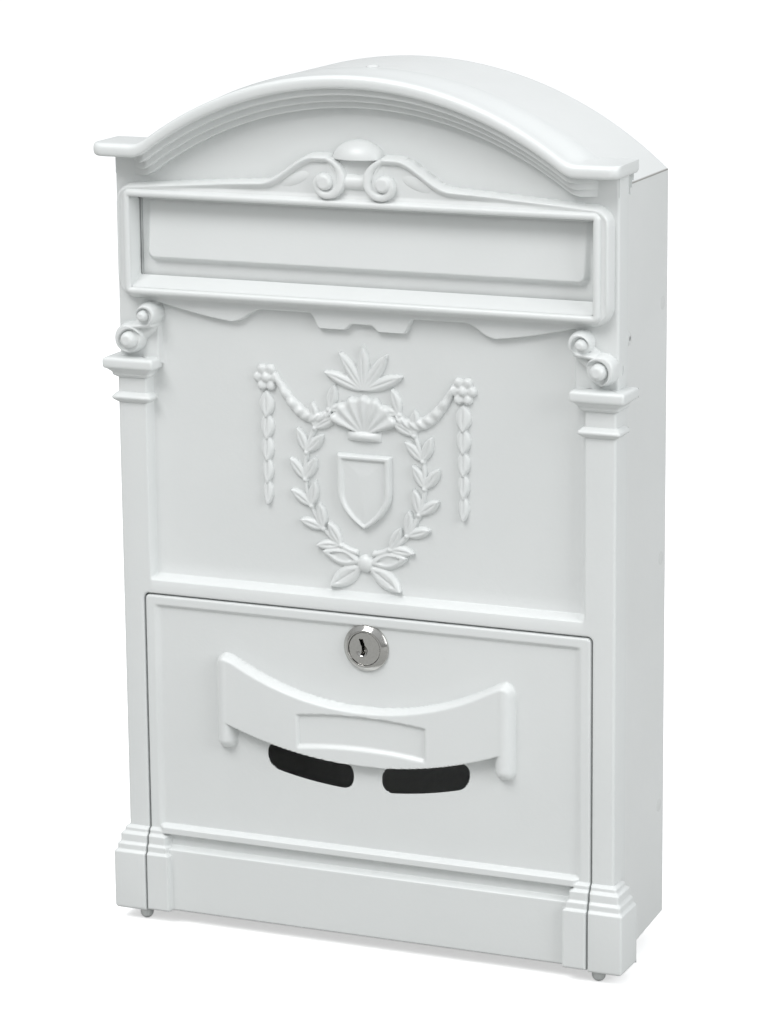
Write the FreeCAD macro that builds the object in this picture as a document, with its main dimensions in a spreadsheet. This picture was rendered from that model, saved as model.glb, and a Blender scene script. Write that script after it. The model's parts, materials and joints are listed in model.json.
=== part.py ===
import FreeCAD, Part
import math
import os
import Sketcher
from FreeCAD import Vector

# Wall letter box: a cast front frame with a pediment, a drop-down cast door with a cam lock,
# an inward letter flap and a sheet-metal case. Millimetres, +Z up, the front faces -Y and the
# wall face is y = 0. "Reach" is the distance from the wall towards the front.
SIZES = {
    # whole box
    "front_reach": 72.0, "frame_width": 247.8, "case_width": 245.6, "mount_height": 205.0,
    "sheet": 0.8, "slip": 0.1, "wall": 4.0,
    # cast surround
    "return_depth": 15.0, "tongue_length": 10.0, "tongue_foot": 14.0, "plate_back": 9.0,
    "face_recess": 3.0, "field_recess": 5.5, "field_low": 165.3, "field_half": 108.5,
    "field_neck": 103.1, "field_top": 303.0,
    # pediment
    "arch_rise": 35.2, "ear_thick": 6.1, "ear_over": 4.6, "nose_crown": 407.6, "arch_radius": 173.5,
    "nose_reach": 12.6, "nose_round": 2.3,
    "mould_drop": 3.2, "mould_over": 3.0, "mould_reach": 9.0, "mould_back": 3.5,
    # cartouche and letter slot
    "cart_proud": 2.6, "cart_half": 121.8, "cart_top": 353.2, "cart_low": 299.5, "cart_round": 8.5,
    "hump_foot": 47.0, "hump_half": 21.0, "hump_top": 369.5, "hump_foot_top": 357.8,
    "apron_low": 292.2, "apron_low_half": 66.0, "apron_foot_half": 110.5, "apron_in_half": 51.0,
    "tab_half": 22.0, "tab_in_half": 8.0, "tab_notch": 295.0,
    "slot_half": 113.7, "slot_low": 304.9, "slot_top": 346.9, "rim_width": 3.4, "rim_proud": 1.5,
    "slot_back_half": 112.8, "slot_back_low": 309.7, "slot_back_depth": 5.0,
    "flap_room_low": 306.5, "flap_room_top": 352.0,
    # volutes and cap over the slot
    "volute_half": 14.2, "volute_height": 358.1, "volute_radius": 8.2, "volute_proud": 5.4,
    "volute_eye": 3.6, "volute_ring": 5.6, "volute_sink": 1.2, "eye_proud": 1.0,
    "cap_height": 368.4, "cap_rise": 8.8, "cap_half": 12.4, "cap_reach": 9.0,
    # pilasters
    "plinth_over": 5.9, "plinth_height": 28.6, "base_low_over": 4.6, "base_low_height": 32.3,
    "base_mid_over": 3.4, "base_mid_height": 37.2, "base_top_over": 1.8, "base_top_height": 40.0,
    "base_bevel": 1.2,
    "bead_low": 249.4, "bead_height": 4.6, "bead_over": 2.3,
    "neck_top": 261.2, "cove_over": 2.0, "cove_height": 1.2, "abacus_low": 266.1, "abacus_top": 271.0,
    "abacus_over": 5.4, "abacus_edge": 0.6,
    # scroll consoles above the capitals
    "scroll_low_half": 116.2, "scroll_low_height": 279.4, "scroll_low_radius": 8.2,
    "scroll_top_half": 106.9, "scroll_top_height": 291.2, "scroll_top_radius": 6.2,
    "scroll_proud": 3.0, "scroll_eye_proud": 1.4,
    # relief on the panel
    "crest_set": 0.4, "crest_proud": 2.6, "leaf_top": 0.45,
    "shield_half": 13.5, "shield_low": 197.0, "shield_top": 232.0, "shield_proud": 2.8,
    "shield_border": 2.4, "shield_sink": 1.0,
    "shell_foot": 241.0, "shell_radius": 19.0, "shell_proud": 1.4, "rib_length": 19.0, "rib_width": 5.2,
    "palm_foot": 262.0, "palm_length": 21.0, "palm_width": 6.2,
    "rosette_half": 49.0, "rosette_height": 265.0, "rosette_radius": 6.4, "rosette_proud": 1.6,
    "rosette_eye": 2.8, "swag_in_half": 16.0, "swag_in_height": 251.0, "swag_low_sag": 7.8,
    "swag_top_sag": 5.0, "swag_proud": 2.0,
    "husk_top": 252.5, "husk_step": 10.4, "husk_length": 12.0, "husk_width": 7.6,
    "wreath_height": 222.0, "wreath_half": 30.0, "wreath_rise": 37.0, "laurel_length": 12.4,
    "laurel_width": 5.4, "bow_height": 180.5, "bow_length": 19.0, "bow_width": 9.0, "knot_radius": 4.2,
    # door
    "leg_width": 10.8, "door_top": 157.5, "door_gap": 0.7, "door_low": 0.8, "door_round": 2.0,
    "door_back": 4.5, "border": 5.2, "door_sink": 1.5, "door_field_low": 46.0,
    "ledge_low": 41.2, "ledge_proud": 1.9, "ledge_bevel": 1.6, "dado_top": 34.6, "dado_proud": 2.5,
    "dado_bevel": 1.3, "door_block": 12.1, "stop_width": 6.0, "stop_height": 10.0, "stop_low": 118.0,
    "stop_gap": 0.3,
    # name banner and view slots
    "banner_half": 71.0, "banner_top": 112.6, "banner_low": 84.9, "banner_top_radius": 157.0,
    "banner_low_radius": 182.0, "banner_proud": 4.0, "roll_radius": 5.3, "roll_low": 86.4,
    "roll_top": 130.6, "name_half": 32.2, "name_low": 92.2, "name_top": 106.8,
    "name_sink": 1.4, "view_in": 6.4, "view_out": 51.5, "view_height": 9.6, "view_end": 4.4,
    # door hinge
    "hinge_height": 5.0, "hinge_reach": 0.8, "hinge_radius": 2.0, "hinge_run": 0.05,
    "hinge_seat": 6.5, "pin_end": 1.0, "post_half": 116.3, "post_radius": 3.2, "post_drop": 5.9,
    "post_set": 1.5,
    # cam lock
    "lock_shift": 1.5, "lock_height": 141.4, "bezel_radius": 10.7, "bezel_proud": 3.0,
    "bezel_bevel": 2.0, "barrel_radius": 9.2, "barrel_fit": 0.1, "plug_radius": 7.9, "plug_disc": 2.4,
    "plug_set": 0.4, "stem_radius": 6.0, "stem_run": 0.06, "key_width": 2.2, "key_height": 9.0,
    "key_depth": 6.5, "nut_width": 25.0, "nut_thick": 3.4, "cam_gap": 0.6, "cam_thick": 2.0,
    "cam_width": 14.0, "cam_length": 23.0, "tail_square": 6.0, "washer_radius": 5.2,
    "washer_thick": 0.8, "screw_radius": 2.0, "screw_head": 4.0, "screw_head_thick": 2.4,
    "screw_length": 7.0,
    # letter flap
    "flap_gap": 0.6, "flap_stop": 0.3, "flap_thick": 2.4, "flap_low": 307.0, "flap_axis": 348.2,
    "flap_axis_depth": 5.4, "knuckle_radius": 2.5, "rod_radius": 1.5, "rod_run": 0.05,
    "pillow_half": 108.7, "pillow_low": 317.0, "pillow_top": 345.0, "pillow_proud": 2.5,
    "pillow_round": 4.0, "rod_seat": 5.2, "clip_radius": 2.8, "clip_thick": 0.6,
    "knuckle_room": 0.5,
    # sheet case
    "eave": 360.8, "roof_crown": 408.4, "floor_front": 1.9, "floor_back": 5.9, "floor_lip": 7.0,
    "flange": 11.0, "hole_spacing": 150.0, "hole_rise": 200.0, "hole_radius": 3.0,
    # rivets
    "rivet_radius": 1.6, "rivet_fit": 0.02, "rivet_head": 3.1, "rivet_dome": 1.3, "rivet_tail": 2.4,
    "rivet_tail_thick": 0.9, "rivet_set": 3.6, "rivet_height": 291.5, "back_rivet_set": 6.0,
    "back_rivet_low": 60.0, "back_rivet_step": 120.0,
}


class Dim:
    """A size that carries its number and the sheet formula it came from."""

    def __init__(self, value, text):
        self.value = value
        self.text = text

    def join(self, other, sign, value):
        return Dim(value, "(" + self.text + sign + asDim(other).text + ")")

    def __add__(self, other):
        return self.join(other, " + ", self.value + asDim(other).value)

    def __sub__(self, other):
        return self.join(other, " - ", self.value - asDim(other).value)

    def __mul__(self, other):
        return self.join(other, " * ", self.value * asDim(other).value)

    def __truediv__(self, other):
        return self.join(other, " / ", self.value / asDim(other).value)

    def __neg__(self):
        return Dim(-self.value, "(-" + self.text + ")")

    def root(self):
        return Dim(math.sqrt(self.value), "sqrt(" + self.text + ")")


def asDim(item):
    if isinstance(item, Dim):
        return item
    return Dim(float(item), repr(float(item)))


def size(name):
    return Dim(SIZES[name], "sizes." + name)


def up(height):
    """Height above the plinth foot, taken from the frame origin at the wall holes."""
    return asDim(height) - size("mount_height")


doc = FreeCAD.newDocument("letter_box")
sheet = doc.addObject("Spreadsheet::Sheet", "sizes")
for row, (alias, number) in enumerate(SIZES.items(), start=1):
    sheet.set("A%d" % row, alias)
    sheet.set("B%d" % row, repr(number))
    sheet.setAlias("B%d" % row, alias)
doc.recompute()


def newBody(name):
    return doc.addObject("PartDesign::Body", name)


def newSketch(body, role, offset):
    sketch = body.newObject("Sketcher::SketchObject", body.Name + "_sketch")
    plane = [item for item in body.Origin.OriginFeatures if item.Role == role][0]
    sketch.AttachmentSupport = (plane, [""])
    sketch.MapMode = "FlatFace"
    sketch.setExpression("AttachmentOffset.Base.z", asDim(offset).text)
    sketch.AttachmentOffset = FreeCAD.Placement(Vector(0, 0, asDim(offset).value), FreeCAD.Rotation())
    return sketch


def pin(sketch, geometry, end, x, y):
    for kind, axis, item in (("DistanceX", -2, asDim(x)), ("DistanceY", -1, asDim(y))):
        if item.text == "0.0":
            sketch.addConstraint(Sketcher.Constraint("PointOnObject", geometry, end, axis))
            continue
        number = sketch.addConstraint(Sketcher.Constraint(kind, -1, 1, geometry, end, item.value))
        sketch.setExpression("Constraints[%d]" % number, item.text)


def bowCentre(start, finish, radius, side):
    """Centre of the short arc from start to finish that bows to the left (side 1) or right (-1)."""
    chord = finish - start
    rise = math.sqrt(radius * radius - chord.Length * chord.Length / 4.0)
    left = Vector(-chord.y, chord.x, 0).normalize()
    return (start + finish) * 0.5 - left * (rise * side)


def drawLoop(sketch, corners):
    """Closed outline; a corner may carry (radius, side) for an arc to the next corner."""
    points = [Vector(asDim(c[0]).value, asDim(c[1]).value, 0) for c in corners]
    first = sketch.GeometryCount
    ends = []
    for index, corner in enumerate(corners):
        start = points[index]
        finish = points[(index + 1) % len(points)]
        if len(corner) == 2:
            sketch.addGeometry(Part.LineSegment(start, finish), False)
            ends.append((1, 2))
            continue
        radius, side = corner[2]
        middle = bowCentre(start, finish, radius.value, side)
        begin, stop = (finish, start) if side > 0 else (start, finish)
        angles = [math.atan2(p.y - middle.y, p.x - middle.x) for p in (begin, stop)]
        circle = Part.Circle(middle, Vector(0, 0, 1), radius.value)
        sketch.addGeometry(Part.ArcOfCircle(circle, angles[0], angles[1]), False)
        ends.append((2, 1) if side > 0 else (1, 2))
    for index, corner in enumerate(corners):
        after = (index + 1) % len(corners)
        sketch.addConstraint(Sketcher.Constraint(
            "Coincident", first + index, ends[index][1], first + after, ends[after][0]))
        pin(sketch, first + index, ends[index][0], corner[0], corner[1])
        if len(corner) == 3:
            number = sketch.addConstraint(Sketcher.Constraint("Radius", first + index, corner[2][0].value))
            sketch.setExpression("Constraints[%d]" % number, corner[2][0].text)


def drawCircle(sketch, x, y, radius):
    middle = Vector(asDim(x).value, asDim(y).value, 0)
    index = sketch.addGeometry(Part.Circle(middle, Vector(0, 0, 1), radius.value), False)
    pin(sketch, index, 3, x, y)
    number = sketch.addConstraint(Sketcher.Constraint("Radius", index, radius.value))
    sketch.setExpression("Constraints[%d]" % number, radius.text)


def draw(sketch, shapes):
    for shape in shapes:
        if isinstance(shape, list):
            drawLoop(sketch, shape)
        else:
            drawCircle(sketch, *shape)


def extrude(body, kind, role, offset, length, shapes, middle=False):
    """Pad or pocket of a sketch; pads leave the plane along its normal, pockets against it."""
    sketch = newSketch(body, role, offset)
    draw(sketch, shapes)
    feature = body.newObject(kind, body.Name + "_" + kind.split("::")[1].lower())
    feature.Profile = sketch
    feature.Length = asDim(length).value
    feature.setExpression("Length", asDim(length).text)
    if middle:
        feature.SideType = "Symmetric"
    sketch.Visibility = False
    return feature


def raisePad(body, low, high, shapes):
    """Pad in the front view from one reach to another."""
    return extrude(body, "PartDesign::Pad", "XZ_Plane", low, asDim(high) - low, shapes)


def cutPocket(body, high, low, shapes):
    """Pocket in the front view from one reach back to another."""
    return extrude(body, "PartDesign::Pocket", "XZ_Plane", high, asDim(high) - low, shapes)


def span(body, x, length, shapes):
    """Pad in the side view, along +X from x; sketch points are (y, z)."""
    return extrude(body, "PartDesign::Pad", "YZ_Plane", x, length, shapes)


def rounded(body, feature, kind, radius, choose):
    """Fillet or chamfer of the edges picked by a test on their middle point and box."""
    doc.recompute()
    names = []
    for index, edge in enumerate(feature.Shape.Edges, start=1):
        if choose(edge.valueAt((edge.FirstParameter + edge.LastParameter) / 2.0), edge.BoundBox):
            names.append("Edge%d" % index)
    dress = body.newObject(kind, body.Name + "_" + kind.split("::")[1].lower())
    dress.Base = (feature, names)
    prop = "Radius" if kind.endswith("Fillet") else "Size"
    setattr(dress, prop, radius.value)
    dress.setExpression(prop, radius.text)
    return dress


def onFront(reach, margin=0.01):
    """Test for edges that lie wholly in the plane of a given reach."""
    place = -asDim(reach).value
    return lambda middle, box: abs(box.YMin - place) < margin and abs(box.YMax - place) < margin


def rect(left, right, low, high):
    return [(left, low), (right, low), (right, high), (left, high)]


def mirrorOf(body):
    twin = doc.addObject("Part::Mirroring", body.Name + "_left")
    twin.Source = body
    twin.Normal = Vector(1, 0, 0)
    return twin


def stack(body, levels, leftOf, rightOf, backOf):
    """Ruled loft through level rectangles given as (height, overhang)."""
    sections = []
    for height, over in levels:
        sketch = newSketch(body, "XY_Plane", up(height))
        draw(sketch, [rect(leftOf(over), rightOf(over), -(size("front_reach") + over), -backOf(over))])
        sketch.Visibility = False
        sections.append(sketch)
    loft = body.newObject("PartDesign::AdditiveLoft", body.Name + "_loft")
    loft.Profile = sections[0]
    loft.Sections = sections[1:]
    loft.Ruled = True
    return loft


def baseLevels(foot):
    """Heights and overhangs of the plinth block and the stepped base above it."""
    levels = []
    names = (("plinth_height", "plinth_over"), ("base_low_height", "base_low_over"),
             ("base_mid_height", "base_mid_over"), ("base_top_height", "base_top_over"))
    low = asDim(foot)
    for height, over in names:
        levels.append((low, size(over)))
        levels.append((size(height), size(over)))
        low = size(height) + size("base_bevel")
    return levels


FRONT = size("front_reach")
JOINT = FRONT - size("return_depth")
PLATE = FRONT - size("plate_back")
FACE = FRONT - size("face_recess")
FIELD = FRONT - size("field_recess")
FRAME_HALF = size("frame_width") / 2
OPENING_HALF = FRAME_HALF - size("leg_width")
EAR_TOP = size("nose_crown") - size("arch_rise")
CASE_HALF = size("case_width") / 2
TONGUE_HALF = CASE_HALF - size("sheet") - size("slip")
INNER_HALF = FRAME_HALF - size("wall")
INNER_INSET = size("sheet") + size("slip") + TONGUE_HALF - INNER_HALF
ROOF_RISE = size("roof_crown") - size("eave")
ROOF_RADIUS = (CASE_HALF * CASE_HALF + ROOF_RISE * ROOF_RISE) / (ROOF_RISE * 2)
ROOF_CENTRE = size("roof_crown") - ROOF_RADIUS
CART = FRONT + size("cart_proud")
HINGE = FRONT + size("hinge_reach")
HINGE_UP = up(size("hinge_height"))
ROD = FRONT - size("flap_axis_depth")
ROD_UP = up(size("flap_axis"))
ROD_SEAT = size("slot_back_half") + size("flap_gap")
ROD_END = ROD_SEAT + size("rod_seat")
RIVET_REACH = JOINT - size("rivet_set")
DOOR_HALF = OPENING_HALF - size("door_gap")
DOOR_TOP = size("door_top") - size("door_gap")
DOOR_BACK = FRONT - size("door_back")
DOOR_FIELD = FRONT - size("door_sink")
BANNER = FRONT + size("banner_proud")


def roofHeight(inset, half):
    """Height of the roof curve moved inwards by an inset, at a half width."""
    radius = ROOF_RADIUS - inset
    return ROOF_CENTRE + (radius * radius - half * half).root()


def archLoop(half, inset, foot):
    """Closed front-view outline: straight sides from a foot height under the roof curve."""
    top = up(roofHeight(inset, half))
    return [(half, up(foot)), (half, top, (ROOF_RADIUS - inset, -1)), (-half, top), (-half, up(foot))]


def archBand(outer, outerInset, inner, innerInset, foot):
    """Inverted U between two roof-shaped outlines, open at the foot."""
    top = up(roofHeight(outerInset, outer))
    low = up(roofHeight(innerInset, inner))
    return [(outer, up(foot)), (outer, top, (ROOF_RADIUS - outerInset, -1)), (-outer, top),
            (-outer, up(foot)), (-inner, up(foot)), (-inner, low, (ROOF_RADIUS - innerInset, 1)),
            (inner, low), (inner, up(foot))]


def archSpan(drop, height):
    """Half width of the pediment arc, lowered by a drop, where it meets a level."""
    sag = size("nose_crown") - drop - height
    return (size("arch_radius") * 2 * sag - sag * sag).root()


def frameShell():
    body = newBody("frame_shell")
    half = archSpan(0.0, EAR_TOP)
    top = up(EAR_TOP)
    foot = up(0.0)
    outline = [(FRAME_HALF, foot), (FRAME_HALF, top), (half, top, (size("arch_radius"), -1)),
               (-half, top), (-FRAME_HALF, top), (-FRAME_HALF, foot)]
    raisePad(body, JOINT, FACE, [outline])
    raisePad(body, FACE, FRONT, [rect(-FRAME_HALF, FRAME_HALF, foot, up(size("abacus_low")))])
    tongue = archBand(TONGUE_HALF, size("sheet") + size("slip"), INNER_HALF, INNER_INSET, size("tongue_foot"))
    raisePad(body, JOINT - size("tongue_length"), JOINT, [tongue])
    wide = size("field_half")
    neck = size("field_neck")
    field = [(-wide, up(size("field_low"))), (wide, up(size("field_low"))),
             (wide, up(size("abacus_low"))), (neck, up(size("abacus_low"))),
             (neck, up(size("field_top"))), (-neck, up(size("field_top"))),
             (-neck, up(size("abacus_low"))), (-wide, up(size("abacus_low")))]
    cutPocket(body, FRONT, FIELD, [field])
    side = OPENING_HALF
    soft = size("door_round")
    crown = up(size("door_top"))
    opening = [(-side, up(-1.0)), (side, up(-1.0)), (side, crown - soft, (soft, -1)),
               (side - soft, crown), (soft - side, crown, (soft, -1)), (-side, crown - soft)]
    cutPocket(body, FRONT, JOINT, [opening])
    return body


def frameRoom():
    """Hollow behind the plate, which leaves an even wall round the casting."""
    body = newBody("frame_room")
    raisePad(body, JOINT, PLATE, [archLoop(INNER_HALF, INNER_INSET, -1.0)])
    return body


def cornice():
    body = newBody("cornice")
    radius = size("arch_radius")

    def outline(topDrop, bottomDrop, over):
        top = EAR_TOP - topDrop
        low = EAR_TOP - bottomDrop
        topHalf = archSpan(topDrop, top)
        lowHalf = archSpan(bottomDrop, low)
        side = FRAME_HALF + over
        return [(side, up(low)), (side, up(top)), (topHalf, up(top), (radius, -1)), (-topHalf, up(top)),
                (-side, up(top)), (-side, up(low)), (-lowHalf, up(low), (radius, 1)), (lowHalf, up(low))]

    thick = size("ear_thick")
    nose = FRONT + size("nose_reach")
    pad = raisePad(body, JOINT, nose, [outline(asDim(0.0), thick, size("ear_over"))])
    sideEnd = (FRAME_HALF + size("ear_over")).value
    flat = onFront(nose)

    def wanted(middle, box):
        return flat(middle, box) or (abs(abs(middle.x) - sideEnd) < 0.01 and box.YLength > 5)

    rounded(body, pad, "PartDesign::Fillet", size("nose_round"), wanted)
    for step in (1, 2, 3):
        drop = thick + size("mould_drop") * step
        over = size("mould_over") * (4 - step) / 4
        reach = FRONT + size("mould_reach") - size("mould_back") * (step - 1)
        raisePad(body, JOINT, reach, [outline(thick / 2, drop, over)])
    return body


def cartouche():
    body = newBody("cartouche")
    half = size("cart_half")
    soft = size("cart_round")
    across = (size("hump_foot") - size("hump_half")) / 2
    rise = (size("hump_top") - size("hump_foot_top")) / 2
    bend = (across * across + rise * rise).root()
    outline = []
    right = [
        (half, up(size("cart_top") - soft), (soft, -1)),
        (half - soft, up(size("cart_top"))),
        (size("hump_foot"), up(size("hump_foot_top")), (bend, 1)),
        (size("hump_half") + across, up(size("hump_foot_top") + rise), (bend, -1)),
    ]
    outline += right
    outline.append((size("hump_half"), up(size("hump_top"))))
    outline.append((-size("hump_half"), up(size("hump_top")), (bend, -1)))
    outline.append((-right[3][0], right[3][1], (bend, 1)))
    outline.append((-right[2][0], right[2][1]))
    outline.append((-right[1][0], right[1][1], (soft, -1)))
    outline.append((-half, right[0][1]))
    low = size("cart_low")
    deep = size("apron_low")
    outline.append((-half, up(low + soft), (soft * 1.5, -1)))
    lower = [(size("apron_foot_half"), low), (size("apron_low_half") + 4, deep),
             (size("apron_low_half") - 4, deep), (size("apron_in_half"), low), (size("tab_half"), low),
             (size("tab_half"), deep), (size("tab_in_half"), deep),
             (size("tab_in_half") - 2, size("tab_notch"))]
    for x, z in lower:
        outline.append((-x, up(z)))
    for x, z in reversed(lower):
        outline.append((x, up(z)))
    outline[-1] = outline[-1] + ((soft * 1.5, -1),)
    outline.append((half, up(low + soft)))
    raisePad(body, PLATE + 1, CART, [outline])
    rim = size("rim_width")
    slot = size("slot_half")
    edge = rect(-(slot + rim), slot + rim, up(size("slot_low") - rim), up(size("slot_top") + rim))
    rimPad = raisePad(body, CART, CART + size("rim_proud"), [edge])
    rounded(body, rimPad, "PartDesign::Fillet", size("rim_proud") * 0.8, onFront(CART + size("rim_proud")))
    return body


def slotCutter():
    """Letter slot: tapered reveal with a sloping sill, then the room for the flap."""
    body = newBody("slot_room")
    front = CART + size("rim_proud") + 1
    mouth = FRONT - size("slot_back_depth")
    sections = []
    for reach, half, low in ((front, size("slot_half"), size("slot_low")),
                             (mouth, size("slot_back_half"), size("slot_back_low"))):
        sketch = newSketch(body, "XZ_Plane", reach)
        draw(sketch, [rect(-half, half, up(low), up(size("slot_top")))])
        sketch.Visibility = False
        sections.append(sketch)
    loft = body.newObject("PartDesign::AdditiveLoft", "slot_room_loft")
    loft.Profile = sections[0]
    loft.Sections = [sections[1]]
    loft.Ruled = True
    half = size("slot_back_half")
    top = up(size("flap_room_top"))
    raisePad(body, PLATE - 1, mouth, [rect(-half, half, up(size("flap_room_low")), top)])
    crest = ROD + size("knuckle_radius") + size("knuckle_room")
    clipFoot = ROD_UP - size("clip_radius") - size("knuckle_room")
    raisePad(body, PLATE - 1, crest, [rect(-ROD_SEAT, ROD_SEAT, clipFoot, top)])
    return body


def trimBack(over):
    return JOINT + size("plinth_over") - over


def pilasterBase():
    """Right-hand plinth block with its stepped base."""
    body = newBody("pilaster_base")
    inner = OPENING_HALF
    stack(body, baseLevels(0.0), lambda over: inner, lambda over: FRAME_HALF + over, trimBack)
    return body


def pilasterRing(name, levels):
    """Right-hand moulding round the pilaster shaft."""
    body = newBody(name)
    inner = size("field_half")
    stack(body, levels, lambda over: inner - over, lambda over: FRAME_HALF + over, trimBack)
    return body


def pilasterHead():
    """Neck bead and capital of the right-hand pilaster."""
    bead = size("bead_over")
    low = size("bead_low")
    tall = size("bead_height")
    beadLevels = [(low, bead * 0.2), (low + tall * 0.2, bead * 0.8), (low + tall * 0.5, bead),
                  (low + tall * 0.8, bead * 0.8), (low + tall, bead * 0.2)]
    cap = size("abacus_over")
    cove = size("cove_over")
    neck = size("neck_top")
    rise = size("cove_height")
    edge = size("abacus_edge")
    capLevels = [(neck, cap * 0.05), (neck + rise, cove), (neck + rise * 2, cove),
                 (size("abacus_low") - edge, cap * 0.75), (size("abacus_low"), cap),
                 (size("abacus_top") - edge, cap), (size("abacus_top"), cap - edge)]
    return [pilasterRing("neck_bead", beadLevels), pilasterRing("capital", capLevels)]


def scrollConsole():
    """Right-hand S-scroll: two volutes joined by a slanting band, standing on the capital."""
    body = newBody("scroll_console")
    low = (size("scroll_low_half"), up(size("scroll_low_height")), size("scroll_low_radius"))
    top = (size("scroll_top_half"), up(size("scroll_top_height")), size("scroll_top_radius"))
    reach = FRONT + size("scroll_proud")
    raisePad(body, PLATE + 1, reach, [low])
    band = [(low[0] - low[2], low[1]), (low[0] + low[2] * 0.7, low[1] + low[2] * 0.7),
            (top[0] + top[2], top[1]), (top[0] - top[2] * 0.7, top[1] - top[2] * 0.7)]
    raisePad(body, PLATE + 1, reach - 1.5, [band])
    raisePad(body, PLATE + 1, reach - 0.5, [top])
    for x, z, radius in (low, top):
        pad = raisePad(body, reach - 1, reach + size("scroll_eye_proud"), [(x, z, radius * 0.48)])
        rounded(body, pad, "PartDesign::Fillet", size("scroll_eye_proud") * 0.85,
                onFront(reach + size("scroll_eye_proud")))
    return body


def centreScroll():
    """Right-hand volute over the slot."""
    body = newBody("centre_scroll")
    x = size("volute_half")
    z = up(size("volute_height"))
    reach = FRONT + size("volute_proud")
    raisePad(body, PLATE + 1, reach, [(x, z, size("volute_radius"))])
    cutPocket(body, reach, reach - size("volute_sink"), [(x, z, size("volute_ring"))])
    pad = raisePad(body, reach - size("volute_sink") - 1, reach + size("eye_proud"),
                   [(x, z, size("volute_eye"))])
    rounded(body, pad, "PartDesign::Fillet", size("eye_proud"), onFront(reach + size("eye_proud")))
    return body


def place(item, x, reach, height):
    for axis, value in (("x", asDim(x)), ("y", -asDim(reach)), ("z", asDim(height))):
        item.setExpression("Placement.Base." + axis, value.text)


def primitive(kind, name, sizes):
    item = doc.addObject("Part::" + kind, name)
    for key, value in sizes.items():
        setattr(item, key, asDim(value).value)
        item.setExpression(key, asDim(value).text)
    return item


def scrollCap():
    """Half dome between the two centre volutes."""
    dome = primitive("Ellipsoid", "scroll_cap", {
        "Radius1": size("cap_rise"), "Radius2": size("cap_half"), "Radius3": size("cap_reach")})
    dome.Angle1 = 0
    place(dome, 0.0, FACE, up(size("cap_height")))
    return dome


def copyAt(body, name, rotation, x, reach, height):
    item = doc.addObject("Part::Compound", name)
    item.Links = [body]
    item.Placement = FreeCAD.Placement(Vector(), rotation)
    place(item, x, reach, height)
    return item


CREST_BACK = FIELD - size("crest_set")


def raised(name, proud, shapes):
    """Flat relief form on the panel."""
    body = newBody(name)
    raisePad(body, CREST_BACK, FIELD + proud, shapes)
    return body


def crestShield():
    """Plain pointed shield with a raised border."""

    def outline(inset):
        half = size("shield_half") - inset
        low = up(size("shield_low") + asDim(inset) * 1.4)
        top = up(size("shield_top") - inset)
        waist = low + (top - low) * 0.5
        bow = half * 2.2
        return [(half, top), (-half, top), (-half, waist, (bow, -1)), (0.0, low, (bow, -1)), (half, waist)]

    body = raised("crest_shield", size("shield_proud"), [outline(0.0)])
    front = FIELD + size("shield_proud")
    cutPocket(body, front, front - size("shield_sink"), [outline(size("shield_border"))])
    return body


def crestLeaf(name, length, width):
    """Pointed leaf about the origin, upright, its two bowed edges sloping up to a narrow top."""
    body = newBody(name)
    sections = []
    for reach, share in ((-size("crest_set"), asDim(1.0)), (size("crest_proud"), size("leaf_top"))):
        half = length * (share + 1) / 4
        belly = width * share / 2
        bow = (half * half + belly * belly) / (belly * 2)
        sketch = newSketch(body, "XZ_Plane", reach)
        draw(sketch, [[(0.0, -half, (bow, -1)), (0.0, half, (bow, -1))]])
        sketch.Visibility = False
        sections.append(sketch)
    loft = body.newObject("PartDesign::AdditiveLoft", name + "_loft")
    loft.Profile = sections[0]
    loft.Sections = [sections[1]]
    loft.Ruled = True
    return body


def crestCopy(body, x, height, tilt):
    """Copy of a leaf with its middle at a place on the panel, turned clockwise from upright."""
    return copyAt(body, body.Name + "_copy", FreeCAD.Rotation(Vector(0, 1, 0), tilt), x, FIELD, up(height))


def fan(body, length, foot, turns):
    """Leaves that spread from a foot on the middle line."""
    copies = []
    for turn in turns:
        lean = math.radians(turn)
        copies.append(crestCopy(body, length / 2 * math.sin(lean), foot + length / 2 * math.cos(lean), turn))
    return copies


def crestShell():
    """Scallop shell: a flat fan under seven ribs."""
    radius = size("shell_radius")
    foot = up(size("shell_foot"))
    spread = math.radians(70)
    side = radius * math.sin(spread)
    level = foot + radius * math.cos(spread)
    plate = raised("crest_shell", size("shell_proud"),
                   [[(0.0, foot), (side, level, (radius, -1)), (0.0, foot + radius, (radius, -1)),
                     (-side, level)]])
    rib = crestLeaf("crest_rib", size("rib_length"), size("rib_width"))
    return [plate] + fan(rib, size("rib_length"), size("shell_foot"), (-66, -44, -22, 0, 22, 44, 66))


def crestWreath():
    """Two laurel branches that rise from the bow round the shield, with leaves in pairs."""
    leaf = crestLeaf("crest_laurel", size("laurel_length"), size("laurel_width"))
    copies = []
    for turn in range(24, 145, 20):
        angle = math.radians(turn)
        x = size("wreath_half") * math.sin(angle)
        height = size("wreath_height") - size("wreath_rise") * math.cos(angle)
        rise = SIZES["wreath_rise"] * math.sin(angle)
        heading = math.degrees(math.atan2(SIZES["wreath_half"] * math.cos(angle), rise))
        for splay in (32, -32):
            lean = math.radians(heading + splay)
            along = size("laurel_length") * 0.5
            for side in (1, -1):
                copies.append(crestCopy(leaf, (x + along * math.sin(lean)) * side,
                                        height + along * math.cos(lean), (heading + splay) * side))
    return copies


def sagRadius(square, sag):
    """Radius of an arc from the square of its chord and its sag."""
    return (square / 4 + sag * sag) / (sag * 2)


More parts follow.
